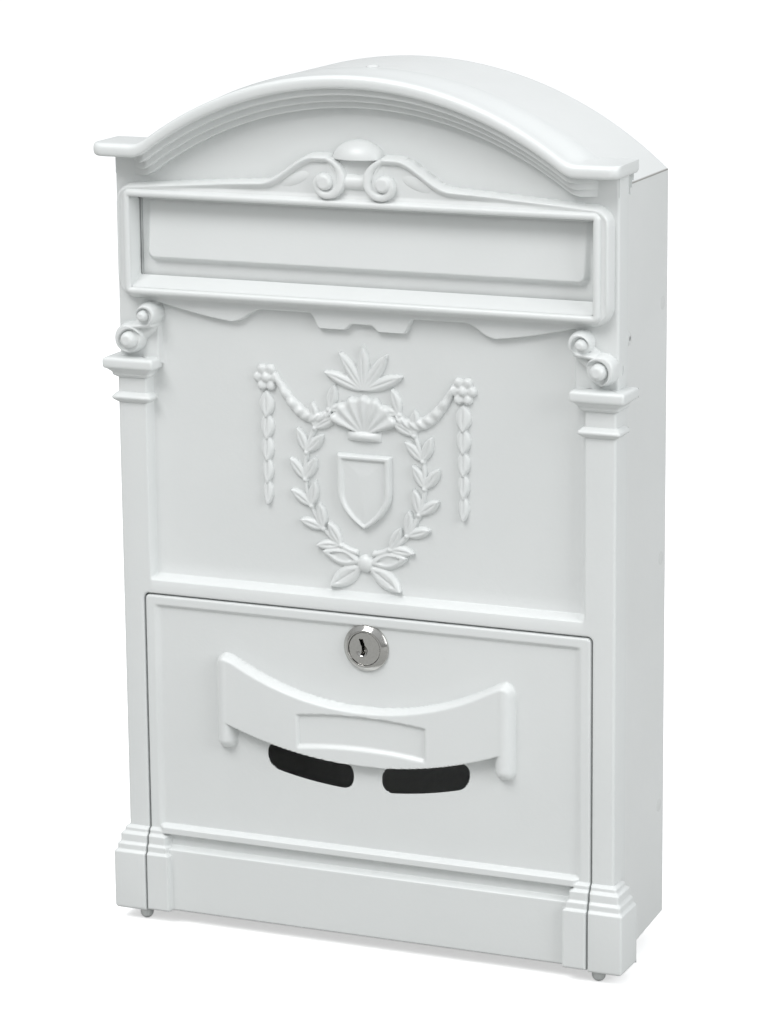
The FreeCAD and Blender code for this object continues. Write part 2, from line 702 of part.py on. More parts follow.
def crestHangings():
    """Rosettes at the sides, swags from the shell to them and husks that hang below."""
    items = []
    half = size("rosette_half")
    level = size("rosette_height")
    husk = crestLeaf("crest_husk", size("husk_length"), size("husk_width"))
    outer = half - size("rosette_radius") * 0.8
    across = outer - size("swag_in_half")
    rise = level - size("swag_in_height")
    square = across * across + rise * rise
    lowBow, topBow = [sagRadius(square, size(name)) for name in ("swag_low_sag", "swag_top_sag")]
    for side in (1, -1):
        spot = (half * side, up(level))
        items.append(raised("crest_rosette", size("rosette_proud"), [spot + (size("rosette_radius"),)]))
        items.append(raised("crest_eye", size("crest_proud"), [spot + (size("rosette_eye"),)]))
        start = (size("swag_in_half") * side, up(size("swag_in_height")))
        finish = (outer * side, up(level))
        swag = [start + ((lowBow, -side),), finish + ((topBow, side),)]
        items.append(raised("crest_swag", size("swag_proud"), [swag]))
        for row in range(5):
            items.append(crestCopy(husk, half * side, size("husk_top") - size("husk_step") * row, 0))
    return items


def crestBow():
    """Ribbon bow below the shield: two loops, two tails and a round knot."""
    level = size("bow_height")
    loop = crestLeaf("crest_bow", size("bow_length"), size("bow_width"))
    items = [raised("crest_knot", size("shield_proud"), [(0.0, up(level), size("knot_radius"))])]
    for tilt in (78, -78, 124, -124):
        lean = math.radians(tilt)
        out = size("knot_radius") * 0.6 + size("bow_length") / 2
        items.append(crestCopy(loop, out * math.sin(lean), level + out * math.cos(lean), tilt))
    return items


def crest():
    """Relief on the panel: shield, shell, palmette, wreath, hangings and bow."""
    palm = crestLeaf("crest_palm", size("palm_length"), size("palm_width"))
    leaves = fan(palm, size("palm_length"), size("palm_foot"), (-68, -34, 0, 34, 68))
    return [crestShield()] + crestShell() + leaves + crestWreath() + crestHangings() + crestBow()


def fuse(name, items):
    joined = doc.addObject("Part::MultiFuse", name)
    joined.Shapes = items
    joined.Refine = True
    return joined


def cut(name, base, tool):
    item = doc.addObject("Part::Cut", name)
    item.Base = base
    item.Tool = tool
    item.Refine = True
    return item


def rodTool(name, axis, radius, length, x, reach, height):
    """Round bar along X, Y or Z from a starting point, given as a part primitive."""
    bar = primitive("Cylinder", name, {"Radius": radius, "Height": length})
    turn = {"x": FreeCAD.Rotation(Vector(0, 1, 0), 90), "y": FreeCAD.Rotation(Vector(1, 0, 0), 90),
            "z": FreeCAD.Rotation()}[axis]
    bar.Placement = FreeCAD.Placement(Vector(), turn)
    place(bar, x, reach, height)
    return bar


def hingePost(side):
    radius = size("post_radius")
    x = size("post_half") * side
    reach = FRONT - size("post_set")
    foot = up(radius - size("post_drop"))
    stem = rodTool("hinge_post", "z", radius, size("post_drop"), x, reach, foot)
    tip = primitive("Sphere", "hinge_post_tip", {"Radius": radius})
    place(tip, x, reach, foot)
    return [stem, tip]


def doorStop(side):
    """Cast lug behind the door's edge, which it shuts on."""
    wide = size("stop_width") + size("wall")
    front = DOOR_BACK - size("stop_gap")
    tall = size("stop_height")
    lug = primitive("Box", "door_stop", {"Length": wide, "Width": front - PLATE, "Height": tall})
    start = OPENING_HALF - size("stop_width")
    place(lug, start if side > 0 else -(start + wide), front, up(size("stop_low")))
    return lug


def frontFrame():
    items = [frameShell(), cornice(), cartouche(), scrollCap()] + crest()
    for body in [pilasterBase(), scrollConsole(), centreScroll()] + pilasterHead():
        items += [body, mirrorOf(body)]
    for side in (1, -1):
        items += hingePost(side) + [doorStop(side)]
    tools = [frameRoom(), slotCutter()]
    tools.append(rodTool("rod_bore", "x", size("rod_radius"), ROD_END * 2, -ROD_END, ROD, ROD_UP))
    seat = size("hinge_seat")
    for start in (OPENING_HALF - 1, -(OPENING_HALF + seat)):
        tools.append(rodTool("pin_bore", "x", size("hinge_radius"), seat + 1, start, HINGE, HINGE_UP))
    tools += rivetHoles("frame_hole")
    return cut("front_frame", fuse("frame_fuse", items), fuse("frame_tools", tools))


def rivetHoles(name):
    radius = size("rivet_radius") + size("rivet_fit")
    deep = size("wall") * 3
    height = up(size("rivet_height"))
    holes = []
    for start in (CASE_HALF - deep + 1, -(CASE_HALF + 1)):
        holes.append(rodTool(name, "x", radius, deep, start, RIVET_REACH, height))
    holes.append(rodTool(name, "z", radius, deep, 0.0, RIVET_REACH, up(size("roof_crown")) - deep + 1))
    return holes


def bowHeight(low, radius, x):
    """Height of a circle standing on a low point, at a half width."""
    return asDim(low) + radius - (radius * radius - asDim(x) * asDim(x)).root()


def doorBlock():
    """Right-hand plinth block of the door, stepped like the frame's."""
    body = newBody("door_block")
    inner = DOOR_HALF - size("door_block")
    widest = size("plinth_over")
    stack(body, baseLevels(0.0), lambda over: inner + widest - over, lambda over: DOOR_HALF,
          lambda over: DOOR_BACK)
    return body


def doorRoll(side):
    """End roll of the name banner: an upright round bar with ball ends."""
    radius = size("roll_radius")
    x = size("banner_half") * side
    reach = DOOR_BACK + radius + size("slip")
    low = up(size("roll_low") + radius)
    tall = size("roll_top") - size("roll_low") - radius * 2
    bar = rodTool("banner_roll", "z", radius, tall, x, reach, low)
    items = [bar]
    for height in (low, low + tall):
        ball = primitive("Sphere", "banner_roll_end", {"Radius": radius})
        place(ball, x, reach, height)
        items.append(ball)
    return items


def viewSlot(side):
    """Curved stadium under the banner edge."""
    radius = size("banner_low_radius")
    foot = size("banner_low")
    tall = size("view_height")
    end = size("view_end")

    def edge(x, drop):
        return (asDim(x) * side, up(bowHeight(foot, radius, x) - drop))

    wide = size("view_out")
    slim = size("view_in")
    outward = [edge(slim, end), edge(slim, tall - end) + ((end, 1 * side),), edge(slim + end, tall)]
    outward[-1] = outward[-1] + ((radius + tall, -1 * side),)
    outward += [edge(wide - end, tall) + ((end, 1 * side),), edge(wide, tall - end), edge(wide, end)]
    outward[-1] = outward[-1] + ((end, 1 * side),)
    outward += [edge(wide - end, 0.0) + ((radius, 1 * side),), edge(slim + end, 0.0) + ((end, 1 * side),)]
    return [(c[0], c[1]) if len(c) == 2 else (c[0], c[1], (c[2][0], -c[2][1])) for c in outward]


def door():
    body = newBody("door_plate")
    soft = size("door_round")
    top = up(DOOR_TOP)
    outline = [(-DOOR_HALF, up(size("door_low"))), (DOOR_HALF, up(size("door_low"))),
               (DOOR_HALF, top - soft, (soft, -1)), (DOOR_HALF - soft, top),
               (soft - DOOR_HALF, top, (soft, -1)), (-DOOR_HALF, top - soft)]
    raisePad(body, DOOR_BACK, FRONT, [outline])
    wide = DOOR_HALF - size("border")
    slim = DOOR_HALF - size("door_block") + size("plinth_over")
    split = up(size("door_field_low"))
    field = [(-slim, up(size("dado_top"))), (slim, up(size("dado_top"))), (slim, split), (wide, split),
             (wide, top - size("border")), (-wide, top - size("border")), (-wide, split), (-slim, split)]
    cutPocket(body, FRONT, DOOR_FIELD, [field])
    ledge = DOOR_FIELD + size("ledge_proud") + size("door_sink")
    pad = raisePad(body, DOOR_BACK + 1, ledge, [rect(-wide, wide, up(size("ledge_low")), split)])
    rounded(body, pad, "PartDesign::Chamfer", size("ledge_bevel"),
            lambda middle, box: onFront(ledge)(middle, box) and middle.z > split.value - 0.1)
    inner = DOOR_HALF - size("door_block") + 1
    dado = FRONT + size("dado_proud")
    dadoTop = up(size("dado_top"))
    pad = raisePad(body, DOOR_BACK + 1, dado, [rect(-inner, inner, up(size("door_low")), dadoTop)])
    rounded(body, pad, "PartDesign::Chamfer", size("dado_bevel"),
            lambda middle, box: onFront(dado)(middle, box) and middle.z > dadoTop.value - 0.1)
    end = size("banner_half")
    high = size("banner_top_radius")
    low = size("banner_low_radius")
    banner = [(-end, up(bowHeight(size("banner_low"), low, end)), (low, -1)),
              (end, up(bowHeight(size("banner_low"), low, end))),
              (end, up(bowHeight(size("banner_top"), high, end)), (high, 1)),
              (-end, up(bowHeight(size("banner_top"), high, end)))]
    raisePad(body, DOOR_BACK + 1, BANNER, [banner])
    name = size("name_half")
    pocket = cutPocket(body, BANNER, BANNER - size("name_sink"),
                       [rect(-name, name, up(size("name_low")), up(size("name_top")))])
    lip = up(size("name_low")).value

    def lowerLip(middle, box):
        return onFront(BANNER)(middle, box) and abs(middle.z - lip) < 0.1 and box.XLength > 20

    rounded(body, pocket, "PartDesign::Chamfer", size("name_sink") * 0.9, lowerLip)
    cutPocket(body, BANNER + 1, DOOR_BACK - 1, [viewSlot(1), viewSlot(-1)])
    block = doorBlock()
    items = [body, block, mirrorOf(block)]
    for side in (1, -1):
        items += doorRoll(side)
    seat = size("door_block") - size("wall")
    radius = size("hinge_radius") + size("hinge_run")
    tools = [rodTool("door_bore", "x", radius, seat + 1, start, HINGE, HINGE_UP)
             for start in (DOOR_HALF - seat, -(DOOR_HALF + 1))]
    deep = size("door_back") * 3
    x, z = lockSpot()
    tools.append(rodTool("lock_hole", "y", size("barrel_radius") + size("barrel_fit"), deep, x,
                         DOOR_BACK - size("door_back"), z))
    tools.append(rodTool("lock_seat", "y", size("bezel_radius") + size("barrel_fit"), deep, x, DOOR_FIELD, z))
    return cut("door", fuse("door_fuse", items), fuse("door_tools", tools))


def hingePins():
    seat = size("hinge_seat")
    length = seat + size("door_gap") + size("door_block") - size("wall") - size("pin_end")
    starts = (OPENING_HALF + seat - length, -(OPENING_HALF + seat))
    bars = [rodTool("hinge_pin", "x", size("hinge_radius"), length, start, HINGE, HINGE_UP)
            for start in starts]
    group = doc.addObject("Part::Compound", "hinge_pins")
    group.Links = bars
    return group


NUT = DOOR_BACK - size("nut_thick")
CAM_FRONT = PLATE - size("cam_gap")
CAM_BACK = CAM_FRONT - size("cam_thick")


def lockSpot():
    return size("lock_shift"), up(size("lock_height"))


def lockBarrel():
    body = newBody("lock_barrel")
    x, z = lockSpot()
    front = DOOR_FIELD + size("bezel_proud")
    raisePad(body, CAM_FRONT + 0.4, DOOR_FIELD, [(x, z, size("barrel_radius"))])
    pad = raisePad(body, DOOR_FIELD, front, [(x, z, size("bezel_radius"))])
    rounded(body, pad, "PartDesign::Chamfer", size("bezel_bevel"), onFront(front))
    doc.recompute()
    cutPocket(body, front, front - size("plug_disc"), [(x, z, size("plug_radius") + size("stem_run"))])
    cutPocket(body, front, CAM_FRONT, [(x, z, size("stem_radius") + size("stem_run"))])
    return body


def lockPlug():
    body = newBody("lock_plug")
    x, z = lockSpot()
    front = DOOR_FIELD + size("bezel_proud")
    face = front - size("plug_set")
    seat = front - size("plug_disc") + size("stem_run")
    half = size("tail_square") / 2
    raisePad(body, CAM_FRONT, seat, [(x, z, size("stem_radius"))])
    raisePad(body, seat, face, [(x, z, size("plug_radius"))])
    raisePad(body, CAM_BACK, CAM_FRONT, [rect(x - half, x + half, z - half, z + half)])
    wide = size("key_width") / 2
    tall = size("key_height") / 2
    cutPocket(body, face, face - size("key_depth"), [rect(x - wide, x + wide, z - tall, z + tall)])
    cutPocket(body, CAM_BACK + size("screw_length"), CAM_BACK, [(x, z, size("screw_radius"))])
    return body


def lockNut():
    body = newBody("lock_nut")
    x, z = lockSpot()
    flat = size("nut_width") / 2
    point = flat * (2 / math.sqrt(3.0))
    corners = [(x + point * math.cos(math.radians(turn)), z + point * math.sin(math.radians(turn)))
               for turn in range(0, 360, 60)]
    raisePad(body, NUT, DOOR_BACK, [corners])
    cutPocket(body, DOOR_BACK, NUT, [(x, z, size("barrel_radius"))])
    return body


def lockCam():
    body = newBody("lock_cam")
    x, z = lockSpot()
    half = size("cam_width") / 2
    tip = x + size("cam_length")
    raisePad(body, CAM_BACK, CAM_FRONT, [rect(x - half, tip, z - half, z + half)])
    square = size("tail_square") / 2 + size("stem_run")
    cutPocket(body, CAM_FRONT, CAM_BACK, [rect(x - square, x + square, z - square, z + square)])
    doc.recompute()
    corner = [f for f in body.Group if f.TypeId == "PartDesign::Pocket"][0]
    rounded(body, corner, "PartDesign::Fillet", half * 0.6,
            lambda middle, box: box.YLength > 1.5 and abs(abs(middle.z - z.value) - half.value) < 0.01)
    return body


def camWasher():
    body = newBody("cam_washer")
    x, z = lockSpot()
    low = CAM_BACK - size("washer_thick")
    raisePad(body, low, CAM_BACK, [(x, z, size("washer_radius"))])
    cutPocket(body, CAM_BACK, low, [(x, z, size("screw_radius") + 0.1)])
    return body


def camScrew():
    body = newBody("cam_screw")
    x, z = lockSpot()
    seat = CAM_BACK - size("washer_thick")
    raisePad(body, seat, CAM_BACK + size("screw_length") - 1, [(x, z, size("screw_radius"))])
    head = raisePad(body, seat - size("screw_head_thick"), seat, [(x, z, size("screw_head"))])
    low = seat - size("screw_head_thick")
    rounded(body, head, "PartDesign::Fillet", size("screw_head_thick") * 0.4, onFront(low))
    return body


FLAP_HALF = size("slot_back_half") - size("flap_gap")
FLAP_FRONT = FRONT - size("slot_back_depth") - size("flap_stop")
FLAP_BACK = FLAP_FRONT - size("flap_thick")


def letterFlap():
    body = newBody("letter_flap")
    length = FLAP_HALF * 2
    plate = rect(-FLAP_FRONT, -FLAP_BACK, up(size("flap_low")), ROD_UP)
    span(body, -FLAP_HALF, length, [plate])
    span(body, -FLAP_HALF, length, [(-ROD, ROD_UP, size("knuckle_radius"))])
    low = up(size("pillow_low"))
    wedge = [(-FLAP_FRONT + 0.2, low), (-FLAP_FRONT + 0.2, up(size("pillow_top"))),
             (-FLAP_FRONT, up(size("pillow_top"))), (-FLAP_FRONT - size("pillow_proud"), low)]
    half = size("pillow_half")
    pad = span(body, -half, half * 2, [wedge])

    def lowerCorner(middle, box):
        atEnd = abs(abs(middle.x) - half.value) < 0.01
        return atEnd and box.ZLength < 0.01 and abs(middle.z - low.value) < 0.01

    rounded(body, pad, "PartDesign::Fillet", size("pillow_round"), lowerCorner)
    doc.recompute()
    extrude(body, "PartDesign::Pocket", "YZ_Plane", FLAP_HALF + 1, length + 2,
            [(-ROD, ROD_UP, size("rod_radius") + size("rod_run"))])
    return body


def flapRod():
    return rodTool("flap_rod", "x", size("rod_radius"), ROD_END * 2, -ROD_END, ROD, ROD_UP)


def rodClips():
    body = newBody("rod_clip")
    start = FLAP_HALF + (ROD_SEAT - FLAP_HALF - size("clip_thick")) / 2
    span(body, start, size("clip_thick"), [(-ROD, ROD_UP, size("clip_radius"))])
    extrude(body, "PartDesign::Pocket", "YZ_Plane", start + size("clip_thick"), size("clip_thick"),
            [(-ROD, ROD_UP, size("rod_radius"))])
    group = doc.addObject("Part::Compound", "rod_clips")
    group.Links = [body, mirrorOf(body)]
    return group


def caseWrap():
    """Two sides and the sloping floor, folded from one sheet."""
    body = newBody("case_blank")
    thick = size("sheet")
    front = -(JOINT - size("slip"))
    low = up(size("floor_front"))
    back = up(size("floor_back"))
    floor = [(front, low), (0.0, back), (0.0, back + thick), (front, low + thick)]
    span(body, -CASE_HALF, CASE_HALF * 2, [floor])
    side = [(front, low), (0.0, back), (0.0, up(size("eave"))), (front, up(size("eave")))]
    span(body, CASE_HALF - thick, thick, [side])
    span(body, -CASE_HALF, thick, [side])
    lip = [(front - size("floor_lip"), low), (front + 1, low), (front + 1, low + thick),
           (front - size("floor_lip"), low + thick)]
    inner = DOOR_HALF - size("door_gap")
    span(body, -inner, inner * 2, [lip])
    holes = rivetHoles("case_hole")[:2] + backHoles("case_back_hole")
    return cut("case_wrap", body, fuse("case_tools", holes))


def roofSheet():
    """Barrel roof: one curved sheet whose edges stand on the side sheets."""
    body = newBody("roof_blank")
    thick = size("sheet")
    radius = ROOF_RADIUS - thick
    rise = size("eave") - ROOF_CENTRE
    inner = (radius * radius - rise * rise).root()
    level = up(size("eave"))
    outline = [(CASE_HALF, level, (ROOF_RADIUS, -1)), (-CASE_HALF, level), (-inner, level, (radius, 1)),
               (inner, level)]
    raisePad(body, asDim(0.0), JOINT - size("slip"), [outline])
    return cut("roof_sheet", body, rivetHoles("roof_hole")[2])


def backHoles(name):
    radius = size("rivet_radius") + size("rivet_fit")
    deep = size("flange")
    holes = []
    for start in (CASE_HALF - deep + 1, -(CASE_HALF + 1)):
        for row in (0, 1, 2):
            height = up(size("back_rivet_low") + size("back_rivet_step") * row)
            holes.append(rodTool(name, "x", radius, deep, start, size("back_rivet_set"), height))
    return holes


def backPlate():
    body = newBody("back_blank")
    thick = size("sheet")
    slip = size("slip")
    half = CASE_HALF - thick - slip
    foot = size("floor_back") + thick + slip + 0.5
    raisePad(body, asDim(0.0), thick, [archLoop(half, thick + slip, foot)])
    fold = archBand(half, thick + slip, half - thick, thick * 2 + slip, foot)
    raisePad(body, thick, size("flange"), [fold])
    across = size("hole_spacing") / 2
    rise = size("hole_rise") / 2
    spots = [(across * sx, rise * sz, size("hole_radius")) for sx in (1, -1) for sz in (1, -1)]
    cutPocket(body, thick, asDim(0.0), spots)
    return cut("back_plate", body, fuse("back_tools", backHoles("back_hole")))


def rivet(name, grip):
    """Domed rivet along +X with its head seat at the origin and the shank running to -X."""
    body = newBody(name)
    head = size("rivet_head")
    radius = size("rivet_radius")
    tail = size("rivet_tail")
    dome = size("rivet_dome")
    sketch = newSketch(body, "XY_Plane", 0.0)
    end = -grip - size("rivet_tail_thick")
    bow = (head * head + dome * dome) / (dome * 2)
    draw(sketch, [[(end, 0.0), (end, tail), (-grip, tail), (-grip, radius), (0.0, radius),
                   (0.0, head, (bow, 1)), (dome, 0.0)]])
    sketch.Visibility = False
    turn = body.newObject("PartDesign::Revolution", name + "_turn")
    turn.Profile = sketch
    turn.ReferenceAxis = (sketch, ["H_Axis"])
    turn.Angle = 360
    return body


def frontRivets():
    grip = size("sheet") + size("slip") + TONGUE_HALF - INNER_HALF
    body = rivet("front_rivet", grip)
    height = up(size("rivet_height"))
    half = FreeCAD.Rotation(Vector(0, 0, 1), 180)
    tall = FreeCAD.Rotation(Vector(0, 1, 0), -90)
    spots = [copyAt(body, "front_rivet_right", FreeCAD.Rotation(), CASE_HALF, RIVET_REACH, height),
             copyAt(body, "front_rivet_left", half, -CASE_HALF, RIVET_REACH, height),
             copyAt(body, "front_rivet_top", tall, 0.0, RIVET_REACH, up(size("roof_crown")))]
    group = doc.addObject("Part::Compound", "front_rivets")
    group.Links = spots
    return group


def backRivets():
    body = rivet("back_rivet", size("sheet") * 2 + size("slip"))
    spots = []
    for side, turn in ((1, 0), (-1, 180)):
        for row in (0, 1, 2):
            height = up(size("back_rivet_low") + size("back_rivet_step") * row)
            spots.append(copyAt(body, "back_rivet_spot", FreeCAD.Rotation(Vector(0, 0, 1), turn),
                                 CASE_HALF * side, size("back_rivet_set"), height))
    group = doc.addObject("Part::Compound", "back_rivets")
    group.Links = spots
    return group


NODES = [frontFrame(), door(), hingePins(), lockBarrel(), lockPlug(), lockNut(), lockCam(), camWasher(),
         camScrew(), letterFlap(), flapRod(), rodClips(), caseWrap(), roofSheet(), backPlate(),
         frontRivets(), backRivets()]
doc.recompute()

os.makedirs("parts", exist_ok=True)
for item in doc.Objects:
    if "Invalid" in item.State or "Error" in item.State:
        raise RuntimeError("feature not computed: " + item.Name)
for node in NODES:
    node.Label = node.Name
    if node.Shape.isNull() or not node.Shape.isValid():
        raise RuntimeError("bad shape: " + node.Name)
    node.Shape.exportStep("parts/" + node.Label + ".step")
    print(node.Label, len(node.Shape.Solids), round(node.Shape.Volume / 1000.0, 2), "cm3")
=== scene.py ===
import json
import bpy
import numpy as np
from mathutils import Matrix, Vector


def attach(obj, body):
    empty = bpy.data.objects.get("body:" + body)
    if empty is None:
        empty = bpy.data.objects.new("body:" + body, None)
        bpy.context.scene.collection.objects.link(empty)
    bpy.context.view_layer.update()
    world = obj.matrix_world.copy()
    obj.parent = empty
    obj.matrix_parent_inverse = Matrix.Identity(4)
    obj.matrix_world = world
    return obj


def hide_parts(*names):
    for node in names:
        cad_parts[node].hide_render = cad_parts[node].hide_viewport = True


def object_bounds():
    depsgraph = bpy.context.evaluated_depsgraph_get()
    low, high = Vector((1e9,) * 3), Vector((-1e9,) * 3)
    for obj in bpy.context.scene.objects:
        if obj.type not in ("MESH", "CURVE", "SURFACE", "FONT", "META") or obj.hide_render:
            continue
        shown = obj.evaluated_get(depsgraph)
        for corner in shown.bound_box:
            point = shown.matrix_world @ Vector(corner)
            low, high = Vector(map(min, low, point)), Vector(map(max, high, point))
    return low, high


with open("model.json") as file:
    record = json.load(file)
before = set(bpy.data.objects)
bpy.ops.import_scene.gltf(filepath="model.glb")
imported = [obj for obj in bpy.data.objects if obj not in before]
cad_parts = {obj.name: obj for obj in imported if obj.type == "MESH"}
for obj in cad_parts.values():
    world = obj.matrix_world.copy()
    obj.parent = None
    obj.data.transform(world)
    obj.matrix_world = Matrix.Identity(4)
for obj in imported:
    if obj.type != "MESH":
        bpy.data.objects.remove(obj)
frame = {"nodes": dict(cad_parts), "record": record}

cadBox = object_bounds()
nodes = frame["nodes"]

# Lengths are millimetres: x to the right, reach out from the wall, height up from the plinth foot.
whole = {
    "mountRise": 205.0,  # plinth foot to the centre of the wall holes
    "front": 72.0,       # wall to the pilaster faces
    "face": 69.0,        # wall to the frieze and tympanum
    "field": 66.5,       # wall to the panel
    "plate": 63.0,       # wall to the back of the cast plate
    "joint": 57.0,       # wall to the seam between casting and sheet
    "half": 123.9,       # half width over the pilasters
}


def place(x, reach, height):  # from millimetres to the frame's metres
    x, reach, height = np.broadcast_arrays(x, reach, height)
    return np.stack([x, -reach, height - whole["mountRise"]], axis=-1) * 0.001


def steps(start, stop, step):
    count = max(1, int(round(abs(stop - start) / step)))
    return np.linspace(start, stop, count + 1)


def lines(*runs):  # grid lines from runs of (start, stop, step) and ready-made arrays
    parts = [steps(*run) if isinstance(run, tuple) else run for run in runs]
    return np.unique(np.round(np.concatenate(parts), 4))


def bothSides(values):
    return np.unique(np.round(np.concatenate([-values, values]), 4))


def edgeLines(edge, inward, radius, count=6):  # grid lines that follow a quarter-round edge
    return edge + inward * radius * (1 - np.cos(np.linspace(0, np.pi / 2, count)))


def around(value, soft, step=0.3):  # run of close grid lines through a soft step
    return value - soft, value + soft, step


def ease(low, high, value):  # smooth ramp from 0 to 1
    t = np.clip((value - low) / (high - low), 0, 1)
    return t * t * (3 - 2 * t)


def passing(value, soft):  # smooth ramp from 0 to 1 as a value passes zero
    return ease(-soft, soft, value)


def mix(start, stop, share):
    return start + (stop - start) * share


def rounding(distance, radius):  # drop of a quarter-round edge at a distance in from it
    short = np.clip(radius - distance, 0, radius)
    return radius - np.sqrt(radius * radius - short * short)


def softMax(a, b, fillet):  # larger of two, with about that fillet where they meet
    h = np.clip(0.5 + 0.5 * (a - b) / fillet, 0, 1)
    return b + (a - b) * h + fillet * h * (1 - h)


def cornerInside(a, b, radius):
    # Distance in from two edges with a rounded corner, from the distances in from each.
    u, v = radius - a, radius - b
    return np.where((u > 0) & (v > 0), radius - np.hypot(u, v), np.minimum(a, b))


def cells(values):  # the corners of each grid cell, anticlockwise from the low left
    return values[:-1, :-1], values[:-1, 1:], values[1:, 1:], values[1:, :-1]


def centres(values):  # value in the middle of each cell
    return (values[:-1, :-1] + values[1:, 1:]) / 2


def touched(shown):  # cells with any corner shown
    return np.logical_or.reduce(cells(shown))


def raised(form, where, level):  # a form lifted to a level within an area
    return np.maximum(form, np.where(where, level, 0))


def relief(x, height, reach, keep, back, spread=(0, 0)):
    # Front surface reach(x, height) on a grid; open borders get walls that run back to the given reach
    # and may spread.
    index = np.arange(x.size).reshape(x.shape)
    a, b, c, d = cells(index)
    e, f, g, h = cells(index + x.size)
    pad = np.pad(keep, 1)
    quads = [((a, b, c, d), keep), ((e, f, b, a), keep & ~pad[:-2, 1:-1]),
             ((d, c, g, h), keep & ~pad[2:, 1:-1]),
             ((a, d, h, e), keep & ~pad[1:-1, :-2]), ((f, g, c, b), keep & ~pad[1:-1, 2:])]
    points = np.stack([place(x, reach, height), place(x + spread[0], back, height + spread[1])])
    return points.reshape(-1, 3), np.concatenate([np.stack(quad, -1)[where] for quad, where in quads])


def patch(x, height, form, level, deep=False):
    # Relief where a form stands above a level; cells with none of it are left out, and deep borders
    # reach the plate.
    reach = np.maximum(form, level)
    return relief(x, height, reach, touched(form > level), np.where(deep, whole["plate"], reach - 0.05))


def skin(x, reach, height, inside):
    # Surface through rows of points, turned so that it faces away from the inside point (x, reach, height).
    points = place(x, reach, height)
    index = np.arange(points[..., 0].size).reshape(points.shape[:2])
    quads = np.stack(cells(index), -1).reshape(-1, 4)
    points = points.reshape(-1, 3)
    corner = points[quads]
    normal = np.cross(corner[:, 2] - corner[:, 0], corner[:, 3] - corner[:, 1])
    outward = corner.mean(1) - place(*inside)
    if (normal * outward).sum() < 0:
        quads = quads[:, ::-1]
    return points, quads


def cadFaces(node, choose):
    # Triangles of a solid that pass a test on their corners (x, reach, height) and on how much they
    # face the wall.
    mesh = nodes[node].data
    mesh.calc_loop_triangles()
    points = np.empty(len(mesh.vertices) * 3)
    mesh.vertices.foreach_get("co", points)
    triangles = np.empty(len(mesh.loop_triangles) * 3, np.int32)
    mesh.loop_triangles.foreach_get("vertices", triangles)
    points = points.reshape(-1, 3)
    corner = points[triangles.reshape(-1, 3)]
    normal = np.cross(corner[:, 1] - corner[:, 0], corner[:, 2] - corner[:, 0])
    normal /= np.maximum(np.linalg.norm(normal, axis=1, keepdims=True), 1e-12)
    x = corner[..., 0] * 1000
    reach = -corner[..., 1] * 1000
    height = corner[..., 2] * 1000 + whole["mountRise"]
    kept = corner[choose(x, reach, height, normal[:, 1:2]).all(1)]
    merged, index = np.unique(np.round(kept.reshape(-1, 3), 7), axis=0, return_inverse=True)
    return merged, index.reshape(-1, 3)


def piece(name, parts, body, slotName, replaced, sharpAngle):
    # One mesh from several (points, faces) sets; unused points are dropped, and edges past the angle
    # stay sharp.
    starts = np.cumsum([0] + [len(p) for p, f in parts])
    points = np.concatenate([p for p, f in parts])
    loops = np.concatenate([(f + s).ravel() for (p, f), s in zip(parts, starts)])
    sizes = np.concatenate([np.full(len(f), f.shape[1]) for p, f in parts])
    used, loops = np.unique(loops, return_inverse=True)
    mesh = bpy.data.meshes.new(name)
    mesh.vertices.add(len(used))
    mesh.vertices.foreach_set("co", points[used].astype(np.float32).ravel())
    mesh.loops.add(len(loops))
    mesh.loops.foreach_set("vertex_index", loops.astype(np.int32).ravel())
    mesh.polygons.add(len(sizes))
    mesh.polygons.foreach_set("loop_start", (np.cumsum(sizes) - sizes).astype(np.int32))
    mesh.polygons.foreach_set("use_smooth", np.ones(len(sizes), bool))
    mesh.update(calc_edges=True)
    mesh.validate()
    mesh.set_sharp_from_angle(angle=np.radians(sharpAngle))
    mesh.materials.append(slotLooks[slotName])
    made = bpy.data.objects.new(name, mesh)
    bpy.context.scene.collection.objects.link(made)
    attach(made, body)
    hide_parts(*replaced)
    print("piece", name, "triangles", int((sizes - 2).sum()))


# Shader groups

def newGroup(name, inputs, outputs):
    group = bpy.data.node_groups.new(name, "ShaderNodeTree")
    for label, kind, value in inputs:
        socket = group.interface.new_socket(label, in_out="INPUT", socket_type=kind)
        socket.default_value = value
    for label, kind in outputs:
        group.interface.new_socket(label, in_out="OUTPUT", socket_type=kind)
    return group, group.nodes.new("NodeGroupInput"), group.nodes.new("NodeGroupOutput")


def setNode(tree, node, feeds=(), **values):
    # Values go on the node or its inputs; feeds pairs an input with the socket that drives it.
    for key, value in values.items():
        if hasattr(node, key):
            setattr(node, key, value)
        else:
            node.inputs[key.replace("_", " ")].default_value = value
    for key, socket in feeds:
        tree.links.new(socket, node.inputs[key])
    return node


def addNode(tree, kind, feeds=(), **values):
    return setNode(tree, tree.nodes.new(kind), feeds, **values)


def objectCoords(tree):
    return addNode(tree, "ShaderNodeTexCoord").outputs["Object"]


def noise(tree, coords, **values):
    return addNode(tree, "ShaderNodeTexNoise", [("Vector", coords)], **values).outputs["Fac"]


def ramp(tree, socket, low, high, start, stop):  # one range mapped onto another
    return addNode(tree, "ShaderNodeMapRange", [("Value", socket)], From_Min=low, From_Max=high,
                   To_Min=start, To_Max=stop).outputs["Result"]


def maths(tree, operation, *sockets, **values):
    return addNode(tree, "ShaderNodeMath", enumerate(sockets), operation=operation, **values).outputs["Value"]


def blend(tree, share, *colours):  # mix of two colours, each a socket or a plain value
    node = addNode(tree, "ShaderNodeMix", [("Factor", share)], data_type="RGBA")
    for label, colour in zip("AB", colours):
        if isinstance(colour, tuple):
            node.inputs[label].default_value = colour
        else:
            tree.links.new(colour, node.inputs[label])
    return node.outputs["Result"]


